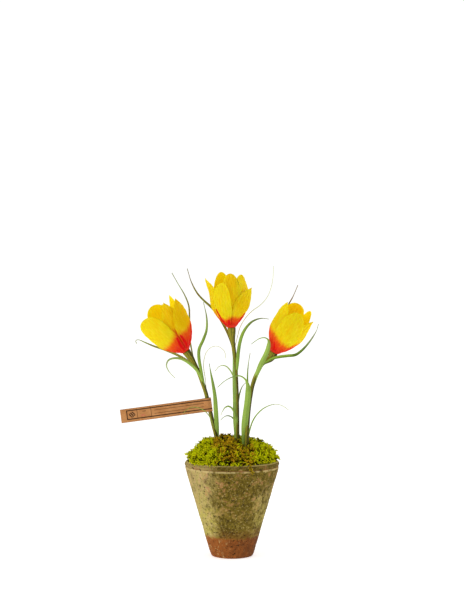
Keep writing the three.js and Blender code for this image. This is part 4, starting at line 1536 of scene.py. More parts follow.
@dataclass(frozen=True)
class Leaf:
    """One grass-like blade.

    Args:
        width: greatest width.
        dry: share of brown.
        pale: share of pale green.
        route: points from root to tip.
        neck: share of the length from which it is drawn in to its neck width.
        neck_width: what is left of the width beyond the neck.
    """

    width: float
    dry: float
    pale: float
    route: tuple[Point, ...]
    neck: float = 1.0
    neck_width: float = 1.0

    THICKNESS = 0.32
    TIP_WIDTH = 0.75

    def half_width(self, share: Array) -> Array:
        """Half the width: it swells over the first third, then tapers by a power of 2.2.

        Args:
            share: of the blade's length.

        Returns:
            Half the width there.
        """
        root = 0.55 + 0.45 * smooth(share / 0.3)
        taper = 1 - clamp01((share - 0.3) / 0.7) ** 2.2
        drawn_in = 1 - (1 - self.neck_width) * smooth((share - self.neck) / 0.14)
        return np.maximum(self.TIP_WIDTH / 2, self.width / 2 * root * taper * drawn_in)

    def surface(self, seed: int) -> Surface:
        """Carries a folded, ribbed section along the route.

        The section is a lens of the blade's thickness, set back by 0.3 of the half width along its
        midrib, and its edges sway a little along the blade.

        Args:
            seed: which sway it gets.

        Returns:
            The blade.
        """
        curve = Curve(self.route)
        frame = frames_along(curve, max(14, round(curve.length / 1.6)))
        splits = 9
        side = np.linspace(-1.0, 1.0, splits)
        sway = lumps(frame.place * [0.4, 0.4, 1.0], 9.0, seed)[:, None]
        half = self.half_width(frame.share)[:, None] * (1 + 0.05 * sway)
        fold = -0.3 * half * (1 - np.abs(side) ** 1.3) * (1.0 if self.width > 2.5 else 0.5)
        ribs = 0.03 * np.cos(side * self.width * 5.0)
        lens = self.THICKNESS / 2 * (1 - 0.75 * side**4)
        twist = 0.22 * sway * side * half
        spine = frame.place[:, None] + frame.across[:, None] * (side * half)[..., None]
        top = spine + frame.face[:, None] * (fold + ribs + lens + twist)[..., None]
        under = spine + frame.face[:, None] * (fold + ribs - lens + twist)[..., None]
        own = {"width": self.width, "dry": self.dry, "pale": self.pale}
        places = {"along": frame.share[:, None], "across": there_and_back(side)}
        return lofted(np.concatenate([top, under[:, ::-1]], axis=1), places | own)


@dataclass
class LeafyStem:
    """One stem, swollen to a tube under its flower, with its leaves."""

    side: str
    route: tuple[Point, ...]
    bloom: Bloom
    leaves: tuple[Leaf, ...]

    FOOT = 45.0
    RADIUS = 2.2
    TUBE_RADIUS = 4.4
    TUBE_LENGTH = 20.0
    SEAT_GAP = 0.3
    SIDES = 20

    def stem_surface(self) -> Surface:
        """Carries a ridged round section along the route, widening towards the flower.

        The radius is the stem's, plus the tube's extra eased in over the last stretch, plus a
        ripple of 4% around it.

        Returns:
            The stem, with the marks `around` and `along`.
        """
        frame_turn = self.bloom.turn()
        seats = [frame_turn @ [0.0, 0.0, z] + np.array(self.bloom.base) for z in (-7.0, -self.SEAT_GAP)]
        x, y = self.route[0][:2]
        curve = Curve([(x, y, self.FOOT), (x, y, 72.0), *self.route, *seats])
        frame = frames_along(curve, 120)
        left = (1 - frame.share) * curve.length
        radius = self.RADIUS + (self.TUBE_RADIUS - self.RADIUS) * smooth(1 - left / self.TUBE_LENGTH)
        angle = round_angles(self.SIDES)
        ridge = 1 + 0.04 * np.cos(5 * angle)[None] + 0.03 * lumps(frame.place, 6.0, 21)[:, None]
        reach = (radius[:, None] * ridge)[..., None]
        cosine, sine = np.cos(angle)[:, None], np.sin(angle)[:, None]
        rings = frame.place[:, None] + reach * (frame.face[:, None] * cosine + frame.across[:, None] * sine)
        return lofted(rings, {"around": angle, "along": frame.share[:, None] * curve.length})

    def build(self, stem_material: bpy.types.Material, leaf_material: bpy.types.Material) -> None:
        """Makes the stem and its leaves as two pieces in place of the node.

        Args:
            stem_material: finish of the stem.
            leaf_material: finish of the leaves.
        """
        node = f"leafy_stem_{self.side}"
        stem = make_object(f"stem_{self.side}", self.stem_surface(), stem_material)
        blades = joined([leaf.surface(31 + index) for index, leaf in enumerate(self.leaves)])
        leaves = make_object(f"leaves_{self.side}", blades, leaf_material)
        for piece in (stem, leaves):
            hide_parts(node)


# ------------------------------------------------------------------ flowers


class Tip(Enum):
    """How a petal ends."""

    ROUND = "round"
    BLUNT = "blunt"
    POINT = "point"


@dataclass(frozen=True)
class Petal:
    """One petal.

    Args:
        azimuth: direction round the flower that it faces, 0 the flower's right and 90 its back.
        height: of the tip along the petal.
        tip_radius: of the tip from the axis.
        half_width: at its widest.
        tip: how it ends.
        belly: extra width of the flower at this petal.
        slant: degrees by which its tip leans round the flower, towards larger azimuths.
        curl: how late the lean comes: under 1 early, over 1 mostly near the tip.
        flare: how far it is drawn in below the tip, so that the tip turns outwards.
        rank: how far outside its neighbours it lies.
        gold: share of golden in its yellow; without it the petal is lemon.
        blush: share of its length that is orange in the middle.
        blush_lean: extra blush at its edge of larger azimuth, less at the other.
        shaded_seams: deep red lines where petals overlap, partly a red tint and partly painted shade, each
            from one place to another, as (across, along) pairs.
        crease_width: of those lines, as a share of half the width.
    """

    azimuth: float
    height: float
    tip_radius: float
    half_width: float
    tip: Tip
    belly: float = 0.0
    slant: float = 0.0
    curl: float = 0.7
    flare: float = 0.0
    rank: float = 0.0
    gold: float = 0.35
    blush: float = 0.24
    blush_lean: float = 0.0
    shaded_seams: tuple[tuple[float, float, float, float], ...] = ()
    crease_width: float = 0.15

    THICKNESS = 0.42
    STATIONS = 56
    SPLITS = 25

    def midline(self) -> Curve:
        """Radius and height of the middle of the petal, bellied like a goblet.

        Returns:
            A curve of radius, 0 and height.
        """
        waist = 19.3 + self.belly
        bulge = 0.2 if self.tip is Tip.POINT else 1.6
        shoulder = (waist + self.tip_radius) / 2 + bulge - self.flare
        return Curve([
            (3.4, 0, 0.6),
            (9 + 0.5 * self.belly, 0, 5),
            (15 + 0.8 * self.belly, 0, 13),
            (waist, 0, 24),
            (shoulder, 0, 0.73 * self.height),
            (self.tip_radius, 0, self.height),
        ])

    def half_at(self, share: Array) -> Array:
        """Half the width: narrow at the base, full at the middle, closed at the tip.

        Args:
            share: of the petal's length.

        Returns:
            Half the width there.
        """
        widening = 0.3 + 0.7 * smooth(share / 0.52)
        upper = clamp01((share - 0.5) / 0.5)
        closings = {
            Tip.ROUND: np.sqrt(1 - upper**2.4),
            Tip.BLUNT: np.sqrt(1 - upper**4.5),
            Tip.POINT: 1 - upper**2.1,
        }
        return np.maximum(0.3, self.half_width * widening * closings[self.tip])

    def relief(self, share: Array, side: Array, half: Array, seed: int) -> Array:
        """How far the petal leaves its plain patch.

        It is the petal's rank, eased in from the base; crepe ribs that run lengthwise; a faint
        midrib; and a sway of the edges.

        Args:
            share: of the petal's length.
            side: place across it, -1 to 1.
            half: half the width there.
            seed: the petal's own number.

        Returns:
            Millimetres outwards.
        """
        wide = side * half
        drift = lumps(np.stack([share * 5 + 0 * wide, wide * 0.2, 0 * wide + seed], -1), 1.0, seed)
        ribs = 0.13 * np.sin(wide * 2.0 + 2.2 * drift) + 0.06 * np.sin(wide * 4.7 + 4 * drift)
        midrib = 0.35 * np.exp(-((wide / 1.1) ** 2)) * (1 - share)
        edge = 0.7 * np.abs(side) ** 3 * np.sin(share * 7 + seed * 1.7) * smooth((share - 0.3) * 2)
        return self.rank * smooth(share / 0.25) + ribs * smooth(share * 5) + midrib + edge

    def surface(self, seed: int) -> Surface:
        """Bends a thin patch round the flower's axis.

        A point at share s and side v lies on an arc round the midline's point: the arc's radius is
        the midline's times 1 + s^2 / 2, and its angle is v times the half width over that radius. The
        petal then leans sideways by its slant, eased in along it, and turns to its azimuth.

        Args:
            seed: the petal's own number.

        Returns:
            The petal, in its flower's own frame.
        """
        curve = self.midline()
        share = 1 - (1 - np.linspace(0.0, 1.0, self.STATIONS)) ** 1.5
        side = np.linspace(-1.0, 1.0, self.SPLITS)[None]
        middle, slope = curve.at(share), curve.along(share)
        bend = middle[:, :1] * (1 + 0.5 * share[:, None] ** 2)
        ragged = 1 + 0.025 * lumps(np.stack([share * 14, 0 * share, 0 * share + seed], -1), 1.0, seed)
        half = (self.half_at(share) * ragged)[:, None]
        angle = side * half / bend
        rim = [middle[:, :1] - bend * (1 - np.cos(angle)), bend * np.sin(angle), middle[:, 2:] + 0 * side]
        patch = np.stack(rim, -1)
        outward = turned_profile(slope[:, 2:], -slope[:, :1], angle)
        lift = self.relief(share[:, None] + 0 * side, side + 0 * share[:, None], half, seed)
        thick = self.THICKNESS / 2 * (1 - 0.7 * np.abs(side) ** 3) + 0 * half
        outer = patch + outward * (lift + thick)[..., None]
        inner = patch + outward * (lift - thick)[..., None]
        rings = self.leant(np.concatenate([outer, inner[:, ::-1]], axis=1), share)
        marks = self.marks(share[:, None], there_and_back(side[0])[None], half, seed)
        return lofted(rings, marks).moved(turn_about(2, self.azimuth))

    def leant(self, rings: Array, share: Array) -> Array:
        """Turns each ring sideways about the way the petal faces, more towards the tip.

        Args:
            rings: points of the petal, ring by ring.
            share: of the petal's length, for each ring.

        Returns:
            The leaning rings.
        """
        lean = np.radians(self.slant) * (share**self.curl)[:, None]
        x, y, z = rings[..., 0], rings[..., 1], rings[..., 2]
        return np.stack([x, y * np.cos(lean) + z * np.sin(lean), z * np.cos(lean) - y * np.sin(lean)], -1)

    def crease(self, share: Array, side: Array) -> Array:
        """How red each point is: a soft line along each shaded seam, partly painted shade where petals
        overlap, thinning towards its upper end.

        Args:
            share: of the petal's length.
            side: place across it, -1 to 1.

        Returns:
            Red, 0 to 1.
        """
        red = np.zeros((share + side).shape)
        for start_side, start, end_side, end in self.shaded_seams:
            t = (share - start) / (end - start)
            line = start_side + (end_side - start_side) * t
            width = self.crease_width * (1.35 - clamp01(t))
            inside = smooth((t + 0.15) / 0.15) * smooth((1.05 - t) / 0.2)
            red = np.maximum(red, np.exp(-(((side - line) / width) ** 2)) * inside)
        return red

    def marks(self, share: Array, side: Array, half: Array, seed: int) -> Marks:
        """Values that the petal's finish reads.

        Args:
            share: of the petal's length.
            side: place across it, -1 to 1.
            half: half the width there.
            seed: the petal's own number.

        Returns:
            The values by name.
        """
        return {
            "along": share,
            "wide": side * half,
            "blush": self.blush + self.blush_lean * side + 0.05 * side**2,
            # fold carries the shaded seams: red lines, partly painted shade where petals overlap
            "fold": self.crease(share, side),
            "inner": np.repeat([0.0, 1.0], self.SPLITS),
            "gold": self.gold,
            "petal": (seed * GOLDEN_SHARE) % 1.0,
        }


@dataclass
class Bloom:
    """One flower: its petals round a small cup, leaning from the upright."""

    side: str
    base: Point
    lean_right: float
    lean_front: float
    petals: tuple[Petal, ...]
    seed: int

    CUP = ((4.2, 0.0), (5.2, 0.6), (6.0, 1.4), (7.2, 2.8), (8.0, 4.2), (7.4, 5.0))
    CUP_SIDES = 36
    CUP_BLUSH = 0.3

    def turn(self) -> Array:
        """Matrix of the flower's lean: to the front, then to the right."""
        return turn_about(1, self.lean_right) @ turn_about(0, self.lean_front)

    def cup_surface(self, names: Iterable[str]) -> Surface:
        """The small body that the petals grow from, with every mark at 0 but its blush.

        Args:
            names: the petals' marks.

        Returns:
            The cup.
        """
        profile = np.array(self.CUP)
        rings = turned_profile(profile[:, :1], profile[:, 1:], round_angles(self.CUP_SIDES))
        cup = poled(rings, (0.0, 0.0, 0.0), (0.0, 0.0, 5.0))
        values = {name: self.CUP_BLUSH if name == "blush" else 0.0 for name in names}
        cup.marks = spread(values, (1, len(cup.points)))
        return cup

    def build(self, material: bpy.types.Material) -> bpy.types.Object:
        """Makes the petals and the cup as one piece.

        Args:
            material: the petals' finish.

        Returns:
            The flower's piece.
        """
        surfaces = [petal.surface(self.seed + index) for index, petal in enumerate(self.petals)]
        surfaces.append(self.cup_surface(surfaces[0].marks))
        whole = joined(surfaces).moved(self.turn(), self.base)
        made = make_object(f"petals_{self.side}", whole, material)
        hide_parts(f"bloom_{self.side}")
        return made


@dataclass
class Stamens:
    """Three stamens round a style with three frilled branches."""

    bloom: Bloom
    foot: float = 5.3

    def build(self, material: bpy.types.Material) -> bpy.types.Object:
        """Makes the stamens of one flower as one piece.

        Each path is a row of points from the foot up, its radius and its pollen given along it.

        Args:
            material: their finish.

        Returns:
            The stamens' piece.
        """
        t = np.linspace(0.0, 1.0, 12)[None, :, None]
        line = t[..., 0]
        spin = round_angles(3)[:, None]
        out, turned = turned_profile(1.0, 0.0, spin), turned_profile(1.0, 0.0, spin + 1)
        up = np.array([0.0, 0.0, 1.0])
        disc = np.array([0.0, 0.5, 1.0, 1.4])[None, :, None]
        grain = 0.1 * np.sin(line * 60)
        swelling = np.sqrt(np.clip(np.sin(math.pi * (0.04 + 0.92 * line)), 0, 1))
        parts = [
            (out * (1.7 + 1.9 * t) + up * (0.3 + 12.6 * t), 0.5 - 0.1 * line, 0.0),
            (out * (3.5 + 1.3 * t) + up * (12.3 + 11.7 * t), 0.2 + swelling + grain, 1.0),
            (turned * (3.0 * t**1.4) + up * (24.4 + 4.6 * t), 0.45 + 0.6 * line**2 + grain, 0.7 * line),
            (up * (0.3 + 24.8 * t), 0.55, 0.0),
            (up * disc, np.array([3.0, 3.0, 2.8, 2.2]), 0.0),
        ]
        foot = up * self.foot
        skins = [rods(foot + path, radius, 4, {"pollen": pollen}) for path, radius, pollen in parts]
        whole = joined(skins).moved(self.bloom.turn(), self.bloom.base)
        made = make_object(f"stamens_{self.bloom.side}_fine", whole, material)
        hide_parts(f"stamens_{self.bloom.side}")
        return made


# ------------------------------------------------------------------ tag


@dataclass
class Tag:
    """A strip of card folded round the left stem, its two layers glued face to face."""

    length: float = 99.8
    width: float = 14.8
    card: float = 0.4
    loop: float = 3.95
    rise: float = 7.7
    place: Point = (-26.0, 8.0, 161.6)

    def route(self) -> list[Point]:
        """The middle of the card seen from above: front layer, loop, back layer.

        Returns:
            Places from one end of the strip to the other.
        """
        far = self.loop + 0.2 - self.length
        front = [(far, -0.32, 0), (far * 0.75, -0.24, 0), (far * 0.5, -0.23, 0), (far * 0.25, -0.23, 0)]
        neck = [(-12, -0.25, 0), (-8, -0.42, 0), (-5.6, -0.95, 0), (-4.2, -1.9, 0)]
        turn = [math.radians(degrees) for degrees in (-135, -108, -80, -50, -20, 0)]
        half = [(self.loop * math.cos(a), self.loop * math.sin(a), 0) for a in turn]
        ahead = [*front, *neck, *half]
        return ahead + [(x, -y, z) for x, y, z in ahead[-2::-1]]

    def surface(self) -> Surface:
        """Carries the card's thin section along its route, with a slight bow across it.

        Returns:
            The tag, with the marks `u`, `v` and `front`.
        """
        curve = Curve(self.route())
        count, splits = 420, 13
        share = np.linspace(0.0, 1.0, count)
        place, along = curve.at(share), curve.along(share)
        outward = np.stack([along[:, 1], -along[:, 0], 0 * share], -1)
        v = np.linspace(-0.5, 0.5, splits)[None] * self.width
        ripple = 0.10 * np.sin(share * 46)[:, None] * (v / 7.0) + 0.14 * (1 - (v / 7.4) ** 2)
        bow = ripple * smooth((np.abs(share - 0.5) - 0.06) * 8)[:, None] * np.sign(0.5 - share)[:, None] * -1
        sheet = place[:, None] + [0, 0, 1] * v[..., None] + outward[:, None] * bow[..., None] * 0.6
        thick = self.card / 2
        outer, inner = sheet + outward[:, None] * thick, sheet - outward[:, None] * thick
        rings = np.concatenate([outer, inner[:, ::-1]], axis=1)
        reach = np.minimum(share, 1 - share) * curve.length
        front = (share < 0.5)[:, None] * np.repeat([1.0, 0.0], splits)
        return lofted(rings, {"u": reach[:, None], "v": there_and_back(v[0]), "front": front})

    def build(self) -> bpy.types.Object:
        """Makes the tag, tilted along the stem's lean.

        Returns:
            The tag's piece.
        """
        surface = self.surface().moved(turn_about(1, -self.rise), self.place)
        made = make_object("tag_card", surface, CardFinish().material())
        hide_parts("tag")
        return made


# ------------------------------------------------------------------ plants


LEFT_ROUTE = (
    (-15.6, 8, 100), (-15.8, 8, 114), (-17.4, 8, 128), (-20.6, 8, 141), (-25.4, 8, 162),
    (-28.3, 8, 174), (-33, 7.5, 188), (-38.5, 7, 202), (-44, 6, 211.6),
)
CENTRE_ROUTE = (
    (5.6, 0, 100), (5.8, 0, 123), (5.8, 0, 141), (5.5, 0, 162), (4.8, 0, 184), (3.7, 0, 205), (2.1, 0, 221),
)
RIGHT_ROUTE = (
    (14.6, -8, 100), (15.6, -8, 117), (16.4, -8, 136), (17.7, -8, 155), (20, -8, 173), (23, -8, 187),
    (27.4, -8, 198), (33, -7.5, 207),
)

LEFT_LEAVES = (
    Leaf(3.6, 0.15, 0.15, (
        (-29.8, 7, 181), (-33, 4, 197), (-35.7, 2, 212), (-35.5, 1, 222), (-31, 1, 232.5),
        (-27.5, 2, 243), (-27.5, 3, 257), (-31, 5, 273),
    )),
    Leaf(3.0, 0.1, 0.3, (
        (-28, 7, 174), (-32.5, 5, 188.5), (-38, 3, 199), (-46.5, 2, 207), (-54.5, 1, 211.5),
        (-62, 0, 212.5), (-68.3, 0, 210.5), (-70.8, 0, 205), (-68, 0, 198), (-61.5, 0, 191),
    )),
    Leaf(2.8, 0.5, 0.35, (
        (-38, 7.5, 202), (-47, 17, 208), (-59, 22, 214.5), (-73, 21, 220.5), (-86, 18, 225),
        (-95, 15, 229), (-102, 12, 232), (-105, 12, 231), (-103.5, 12, 227.5),
    )),
    Leaf(2.0, 0.45, 0.35, (
        (-40, 7.5, 205), (-43, 15, 216), (-46.6, 21, 235), (-46.6, 22, 252), (-47.4, 21, 269),
        (-52, 20, 281), (-59, 18, 293), (-65.7, 16, 305),
    )),
    Leaf(1.0, 0.0, 0.95, (
        (-27.6, 8.5, 175), (-29, 12, 189), (-31, 14, 204), (-29, 15, 216), (-24.3, 15, 222.5),
        (-18, 15, 225), (-12, 15, 223), (-8, 15, 218.5), (-7, 15, 211.5),
    )),
    Leaf(4.9, 0.0, 0.25, (
        (-16.4, 8, 116), (-16.0, 6.5, 130), (-16.9, 5, 145), (-17.6, 4.5, 158), (-18.5, 4.5, 171),
        (-20.4, 5, 183), (-22.7, 5, 195), (-24.7, 5, 206.5),
    )),
    Leaf(1.1, 0.5, 0.4, (
        (-18.5, 7.5, 133), (-21.6, 2, 144), (-25.2, -1.5, 151), (-30.4, -3, 156.5), (-36.6, -4, 159.3),
        (-42.6, -4, 160), (-48.2, -4, 157.5), (-52.2, -4, 153.5),
    )),
)
CENTRE_LEAVES = (
    Leaf(2.8, 0.6, 0.0, (
        (2.4, 0.5, 215), (0, 3, 226), (-3.3, 6.5, 236), (-7, 10, 244.3), (-11.8, 12.5, 253),
        (-17.5, 14, 261.5), (-23.5, 14, 268.3), (-30.5, 13, 274.6), (-37.6, 12, 282.4), (-44, 11, 294.3),
        (-48.7, 9, 309.5),
    )),
    Leaf(3.9, 0.0, 0.15, (
        (4.3, -0.5, 189), (5.6, -2.5, 204), (6.8, -3.5, 219), (8.7, -3.5, 230.5), (11.7, -3, 239.5),
        (16.2, -2, 246.7), (21.4, 0, 251.7), (27.3, 3, 254.5), (33.6, 6, 255.5), (40, 9, 254.5),
    )),
    Leaf(0.9, 0.0, 0.9, (
        (2.7, 0.5, 222.5), (5.6, 6, 234), (9, 10, 246), (15, 13, 256), (22.5, 13.5, 263.7),
        (30.5, 13, 269.5), (37.4, 12, 277), (42, 11, 287), (44.5, 10, 299), (45, 9, 312),
    )),
    Leaf(1.5, 0.05, 0.6, (
        (3.9, 0.5, 185.5), (0.4, 3, 195), (-3, 5, 200.5), (-6.5, 6, 203.5), (-11, 7, 204.3),
        (-15, 8, 202.3), (-18.2, 8, 198),
    )),
    Leaf(5.1, 0.0, 0.35, (
        (5.0, -0.8, 114), (4.1, -2, 133), (3.5, -2.4, 154), (3.0, -2.3, 173), (2.2, -2.2, 191),
        (1.5, -2, 208), (0.8, -1.7, 220),
    )),
    Leaf(2.0, 0.0, 0.3, (
        (4.3, -1.8, 146), (2.6, -3, 153.5), (-0.2, -4, 158.8), (-4.1, -4.5, 161), (-7.5, -5, 159.5),
        (-10, -5, 156), (-12.2, -5, 151),
    )),
    Leaf(1.4, 0.2, 0.0, (
        (4.8, -0.5, 138), (1.9, -0.5, 146.5), (-1.6, -1, 149.8), (-5.6, -1, 150.4), (-9.3, -1, 148.7),
        (-12.5, 0, 145.3),
    )),
    Leaf(1.7, 0.0, 0.0, (
        (5, 0, 152), (6.7, 0, 165), (8.6, 0.5, 175.5), (11, 2, 181.5), (14.6, 4, 185.5), (18, 6, 187.5),
    )),
)
RIGHT_LEAVES = (
    Leaf(7.0, 0.0, 0.3, (
        (14, -5.6, 110), (13, -6.6, 125), (13.6, -10.4, 142), (15.5, -12.5, 158.5), (17, -13, 172.5),
        (17, -14, 183.5), (14.2, -15.5, 190.5), (8, -17, 194.4), (0, -17.5, 193), (-8, -17, 188.7),
        (-15.4, -15, 182),
    ), 0.58, 0.36),
    Leaf(5.4, 0.0, 0.35, (
        (23.2, -8.5, 185), (27, -11, 197), (31.5, -13, 207.5), (36, -15, 217), (38.8, -17.5, 225.6),
        (39, -18.5, 232), (36, -17.5, 234.8), (30.5, -14.5, 234.5), (25, -11.5, 231.3), (20.8, -9.5, 228),
    ), 0.6, 0.4),
    Leaf(3.1, 0.1, 0.0, (
        (31.7, -8, 204.5), (37, -10, 209), (43.4, -11.5, 212.6), (51.4, -12.5, 214.6), (60, -12, 215.6),
        (68, -11, 216.6), (75, -10, 221.4), (82, -9, 229), (87.4, -8, 236.5), (91, -7, 243),
        (93, -6, 249.5),
    )),
    Leaf(2.7, 0.75, 0.0, (
        (31.7, -7, 205.5), (36, 4, 212), (42, 14, 221.5), (49, 19.5, 236), (55.5, 21.5, 253.5),
        (61.3, 20.5, 269), (66.7, 19, 279), (72, 17, 291.5),
    )),
    Leaf(1.9, 0.2, 0.0, (
        (18, -7.5, 158), (17.2, -5, 176), (16.7, -4, 193), (17.6, -3.5, 206), (19.6, -3, 218.5),
    )),
    Leaf(1.5, 0.0, 0.25, (
        (15.6, -8, 113), (17.3, -8.5, 127), (19.5, -9, 137.5), (22.3, -8.5, 145.5), (26.7, -8, 152.3),
        (32.7, -7, 158), (40, -6, 161.8), (48, -5, 163.2), (55, -4, 161), (61, -3, 156.7),
    )),
)

LEFT_BLOOM = Bloom("left", (-49.9, 5, 220), -35, 7, (
    Petal(195, 46, 20, 12, Tip.ROUND, 1.5, rank=-0.6, blush=0.3),
    Petal(246, 56, 19, 14.3, Tip.BLUNT, 1.5, slant=-11, rank=0.5, gold=0.15, blush=0.38, blush_lean=0.05,
          shaded_seams=((0.6, 0.06, 0.88, 0.42), (-0.1, 0.06, -0.2, 0.2))),
    Petal(315, 55.5, 20, 13, Tip.POINT, 0.5, slant=13, curl=1.1, rank=0.8, gold=0.9, blush=0.44,
          blush_lean=0.06,
          shaded_seams=((-0.6, 0.08, -0.85, 0.42), (0.5, 0.12, 0.66, 0.5), (0.05, 0.06, 0.08, 0.26))),
    Petal(283, 59, 14, 13.5, Tip.POINT, -1.0, slant=8, rank=-0.8, gold=0.7, blush=0.5),
    Petal(30, 59.5, 22.5, 14, Tip.POINT, -0.5, rank=0.3, blush=0.4),
    Petal(68, 55, 19, 13, Tip.POINT, 0.5, rank=-0.6, blush=0.3),
    Petal(102, 60, 16, 13.5, Tip.BLUNT, -0.5, rank=-0.6, blush=0.3),
), 3)
CENTRE_BLOOM = Bloom("centre", (-0.5, 0, 245.8), -3.6, 4, (
    Petal(208, 56, 21.5, 11.5, Tip.POINT, -0.5, slant=-13.5, flare=1.5, rank=-0.3, blush=0.32,
          shaded_seams=((0.2, 0.06, -0.1, 0.44),)),
    Petal(240, 49.5, 18, 11, Tip.ROUND, -0.5, slant=3, rank=0.8, gold=0.1, blush=0.26,
          shaded_seams=((-0.35, 0.04, -0.74, 0.5), (0.55, 0.04, 0.6, 0.26)), crease_width=0.22),
    Petal(304, 45, 18, 10, Tip.POINT, -1.0, slant=22, curl=2.0, rank=1.0, gold=0.5, blush=0.3,
          shaded_seams=((0.35, 0.05, 0.72, 0.42),), crease_width=0.24),
    Petal(279, 59, 13.5, 12.5, Tip.ROUND, -1.5, slant=0, rank=-0.8, gold=0.6, blush=0.34),
    Petal(319, 57, 15.5, 12.5, Tip.ROUND, -1.5, slant=4, rank=-1.5, gold=0.5, blush=0.34),
    Petal(34, 54, 16, 12.5, Tip.ROUND, -0.5, rank=0.0, blush=0.26),
    Petal(84, 55, 16, 12.5, Tip.ROUND, 0.5, rank=-0.5, blush=0.26),
    Petal(122, 60, 15, 12, Tip.ROUND, -0.5, rank=-0.5, blush=0.26),
), 11)
RIGHT_BLOOM = Bloom("right", (45.2, -6, 219.1), 28, 6, (
    Petal(225, 55.5, 15, 12, Tip.POINT, -2.5, slant=-3, rank=0.0, gold=0.2, blush=0.4, blush_lean=-0.05),
    Petal(275, 51, 16.5, 13.2, Tip.ROUND, 0, slant=2.5, rank=0.8, gold=0.2, blush=0.34, blush_lean=-0.06,
          shaded_seams=((-0.45, 0.04, -0.8, 0.3), (-0.2, 0.04, -0.2, 0.14))),
    Petal(318, 50.5, 18, 10.5, Tip.POINT, -1.0, slant=13, curl=1.8, rank=0.6, gold=0.6, blush=0.38,
          blush_lean=0.08, shaded_seams=((0.3, 0.06, 0.66, 0.36),)),
    Petal(24, 57, 15.2, 13.5, Tip.ROUND, -1.0, rank=0.0, blush=0.28),
    Petal(92, 57.5, 14, 12.5, Tip.BLUNT, 0.5, rank=-0.5, gold=1.0, blush=0.28),
    Petal(150, 49, 12, 11.5, Tip.ROUND, -2.5, rank=-0.8, blush=0.28),
), 19)


# ------------------------------------------------------------------ studio


@dataclass(frozen=True)
class Lamp:
    """A square area light, in metres and watts."""

    name: str
    place: Point
    size: float
    watts: float


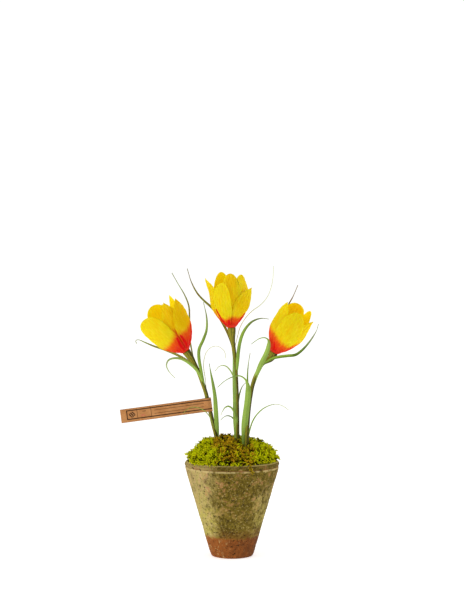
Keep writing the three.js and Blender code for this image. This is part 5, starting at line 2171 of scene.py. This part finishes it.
@dataclass
class Studio:
    """A plain pale floor, soft lights, and the camera."""

    lamps: tuple[Lamp, ...] = (
        Lamp("key", (-1.35, -0.55, 0.95), 0.6, 6.0),
        Lamp("front", (0.2, -1.6, 1.0), 1.0, 1.0),
        Lamp("rim", (1.3, 0.5, 0.7), 0.8, 4.5),
    )
    aim: Point = (0.0, 0.0, 0.17)
    camera_place: Point = (0.0, -1.4, 0.2753)
    lens: float = 77.8
    sensor: float = 36.0
    floor_radius: float = 30.0
    floor_sides: int = 96
    floor_glow: float = 0.52
    floor_dark: Colour = paint(247, 244, 242)
    floor_light: Colour = paint(251, 249, 248)
    backdrop: float = 1.05
    ambient: float = 0.64

    def floor(self) -> None:
        """A wide pale disc under the pot that glows a little, as on a light table."""
        rim = turned_profile(self.floor_radius, 0.0, round_angles(self.floor_sides))
        mesh = bpy.data.meshes.new("floor")
        mesh.from_pydata(rim.tolist(), [], [list(range(len(rim)))])
        recipe = Recipe("pale_floor")
        colour = recipe.mix(self.floor_dark, self.floor_light, recipe.noise(recipe.place(), 400.0, 2.0))
        glow = {"Emission_Color": WHITE, "Emission_Strength": self.floor_glow}
        mesh.materials.append(recipe.finish(Base_Color=colour, Roughness=0.8, **glow))
        floor = bpy.data.objects.new("floor", mesh)
        bpy.context.scene.collection.objects.link(floor)

    def world(self) -> None:
        """White all round; it looks brighter than it lights."""
        world = bpy.data.worlds.new("studio_white")
        world.use_nodes = True
        tree = world.node_tree
        background = tree.nodes["Background"]
        background.inputs["Color"].default_value = WHITE
        path = tree.nodes.new("ShaderNodeLightPath")
        strength = tree.nodes.new("ShaderNodeMix")
        strength.inputs[2].default_value = self.ambient
        strength.inputs[3].default_value = self.backdrop
        tree.links.new(path.outputs["Is Camera Ray"], strength.inputs[0])
        tree.links.new(strength.outputs[0], background.inputs["Strength"])
        bpy.context.scene.world = world

    def light(self, lamp: Lamp) -> None:
        """Adds an area light that looks at the middle of the plant.

        Args:
            lamp: its place, size and power.
        """
        data = bpy.data.lights.new(lamp.name, "AREA")
        data.size = lamp.size
        data.energy = lamp.watts
        made = bpy.data.objects.new(lamp.name, data)
        made.location = lamp.place
        sight = Vector(self.aim) - Vector(lamp.place)
        made.rotation_euler = sight.to_track_quat("-Z", "Y").to_euler()
        bpy.context.scene.collection.objects.link(made)

    def camera(self) -> None:
        """A level camera in front of the flowers."""
        data = bpy.data.cameras.new("camera")
        data.lens = self.lens
        data.sensor_width = self.sensor
        made = bpy.data.objects.new("camera", data)
        made.location = self.camera_place
        made.rotation_euler = (math.pi / 2, 0.0, 0.0)
        bpy.context.scene.collection.objects.link(made)
        bpy.context.scene.camera = made

    def build(self) -> None:
        """Sets up floor, world, lights and camera."""
        self.floor()
        self.world()
        for lamp in self.lamps:
            self.light(lamp)
        self.camera()
        bpy.context.scene.view_settings.view_transform = "Standard"


# ------------------------------------------------------------------ assembly


def dress_soil(soil: bpy.types.Object) -> None:
    """Gives the packed soil node its finish.

    Args:
        soil: the node's object.
    """
    soil.data.materials.clear()
    soil.data.materials.append(SoilFinish().material())
    log.info("%s: packed solid with its finish", soil.name)


def build_moss() -> None:
    """Makes the cushion, the three clumps of fronds and the strays."""
    mound = MossMound()
    material = MossFinish().material()
    mound.cushion(material)
    far = 60.0
    # left clump set lighter and right clump darker: partly painted light from the left
    clumps = [
        MossClump("moss_left", "moss_green", lambda y: -far + 0 * y, left_parting, mound, 41, 0.82),
        MossClump("moss_centre", "moss_brown", left_parting, right_parting, mound, 42),
        MossClump("moss_right", "moss_green", right_parting, lambda y: far + 0 * y, mound, 43, 0.58),
    ]
    for clump in clumps:
        clump.build(material)
    StrayMoss().build(material)


def build_plants() -> None:
    """Makes each plant: its stem, leaves, petals and stamens."""
    stem_material = StemFinish().material()
    leaf_material = LeafFinish().material()
    petal_material = PetalFinish().material()
    stamen_material = StamenFinish().material()
    plants = [
        (LEFT_ROUTE, LEFT_BLOOM, LEFT_LEAVES),
        (CENTRE_ROUTE, CENTRE_BLOOM, CENTRE_LEAVES),
        (RIGHT_ROUTE, RIGHT_BLOOM, RIGHT_LEAVES),
    ]
    for route, bloom, leaves in plants:
        LeafyStem(bloom.side, route, bloom, leaves).build(stem_material, leaf_material)
        bloom.build(petal_material)
        Stamens(bloom).build(stamen_material)


def write_sizes() -> None:
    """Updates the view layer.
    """
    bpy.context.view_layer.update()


def main() -> None:
    """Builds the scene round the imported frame."""
    logging.basicConfig(level=logging.INFO, format="%(message)s")
    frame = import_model()
    Studio().build()
    Pot().build()
    dress_soil(frame["nodes"]["soil"])
    build_moss()
    build_plants()
    Tag().build()
    write_sizes()


if __name__ == "__main__":
    main()
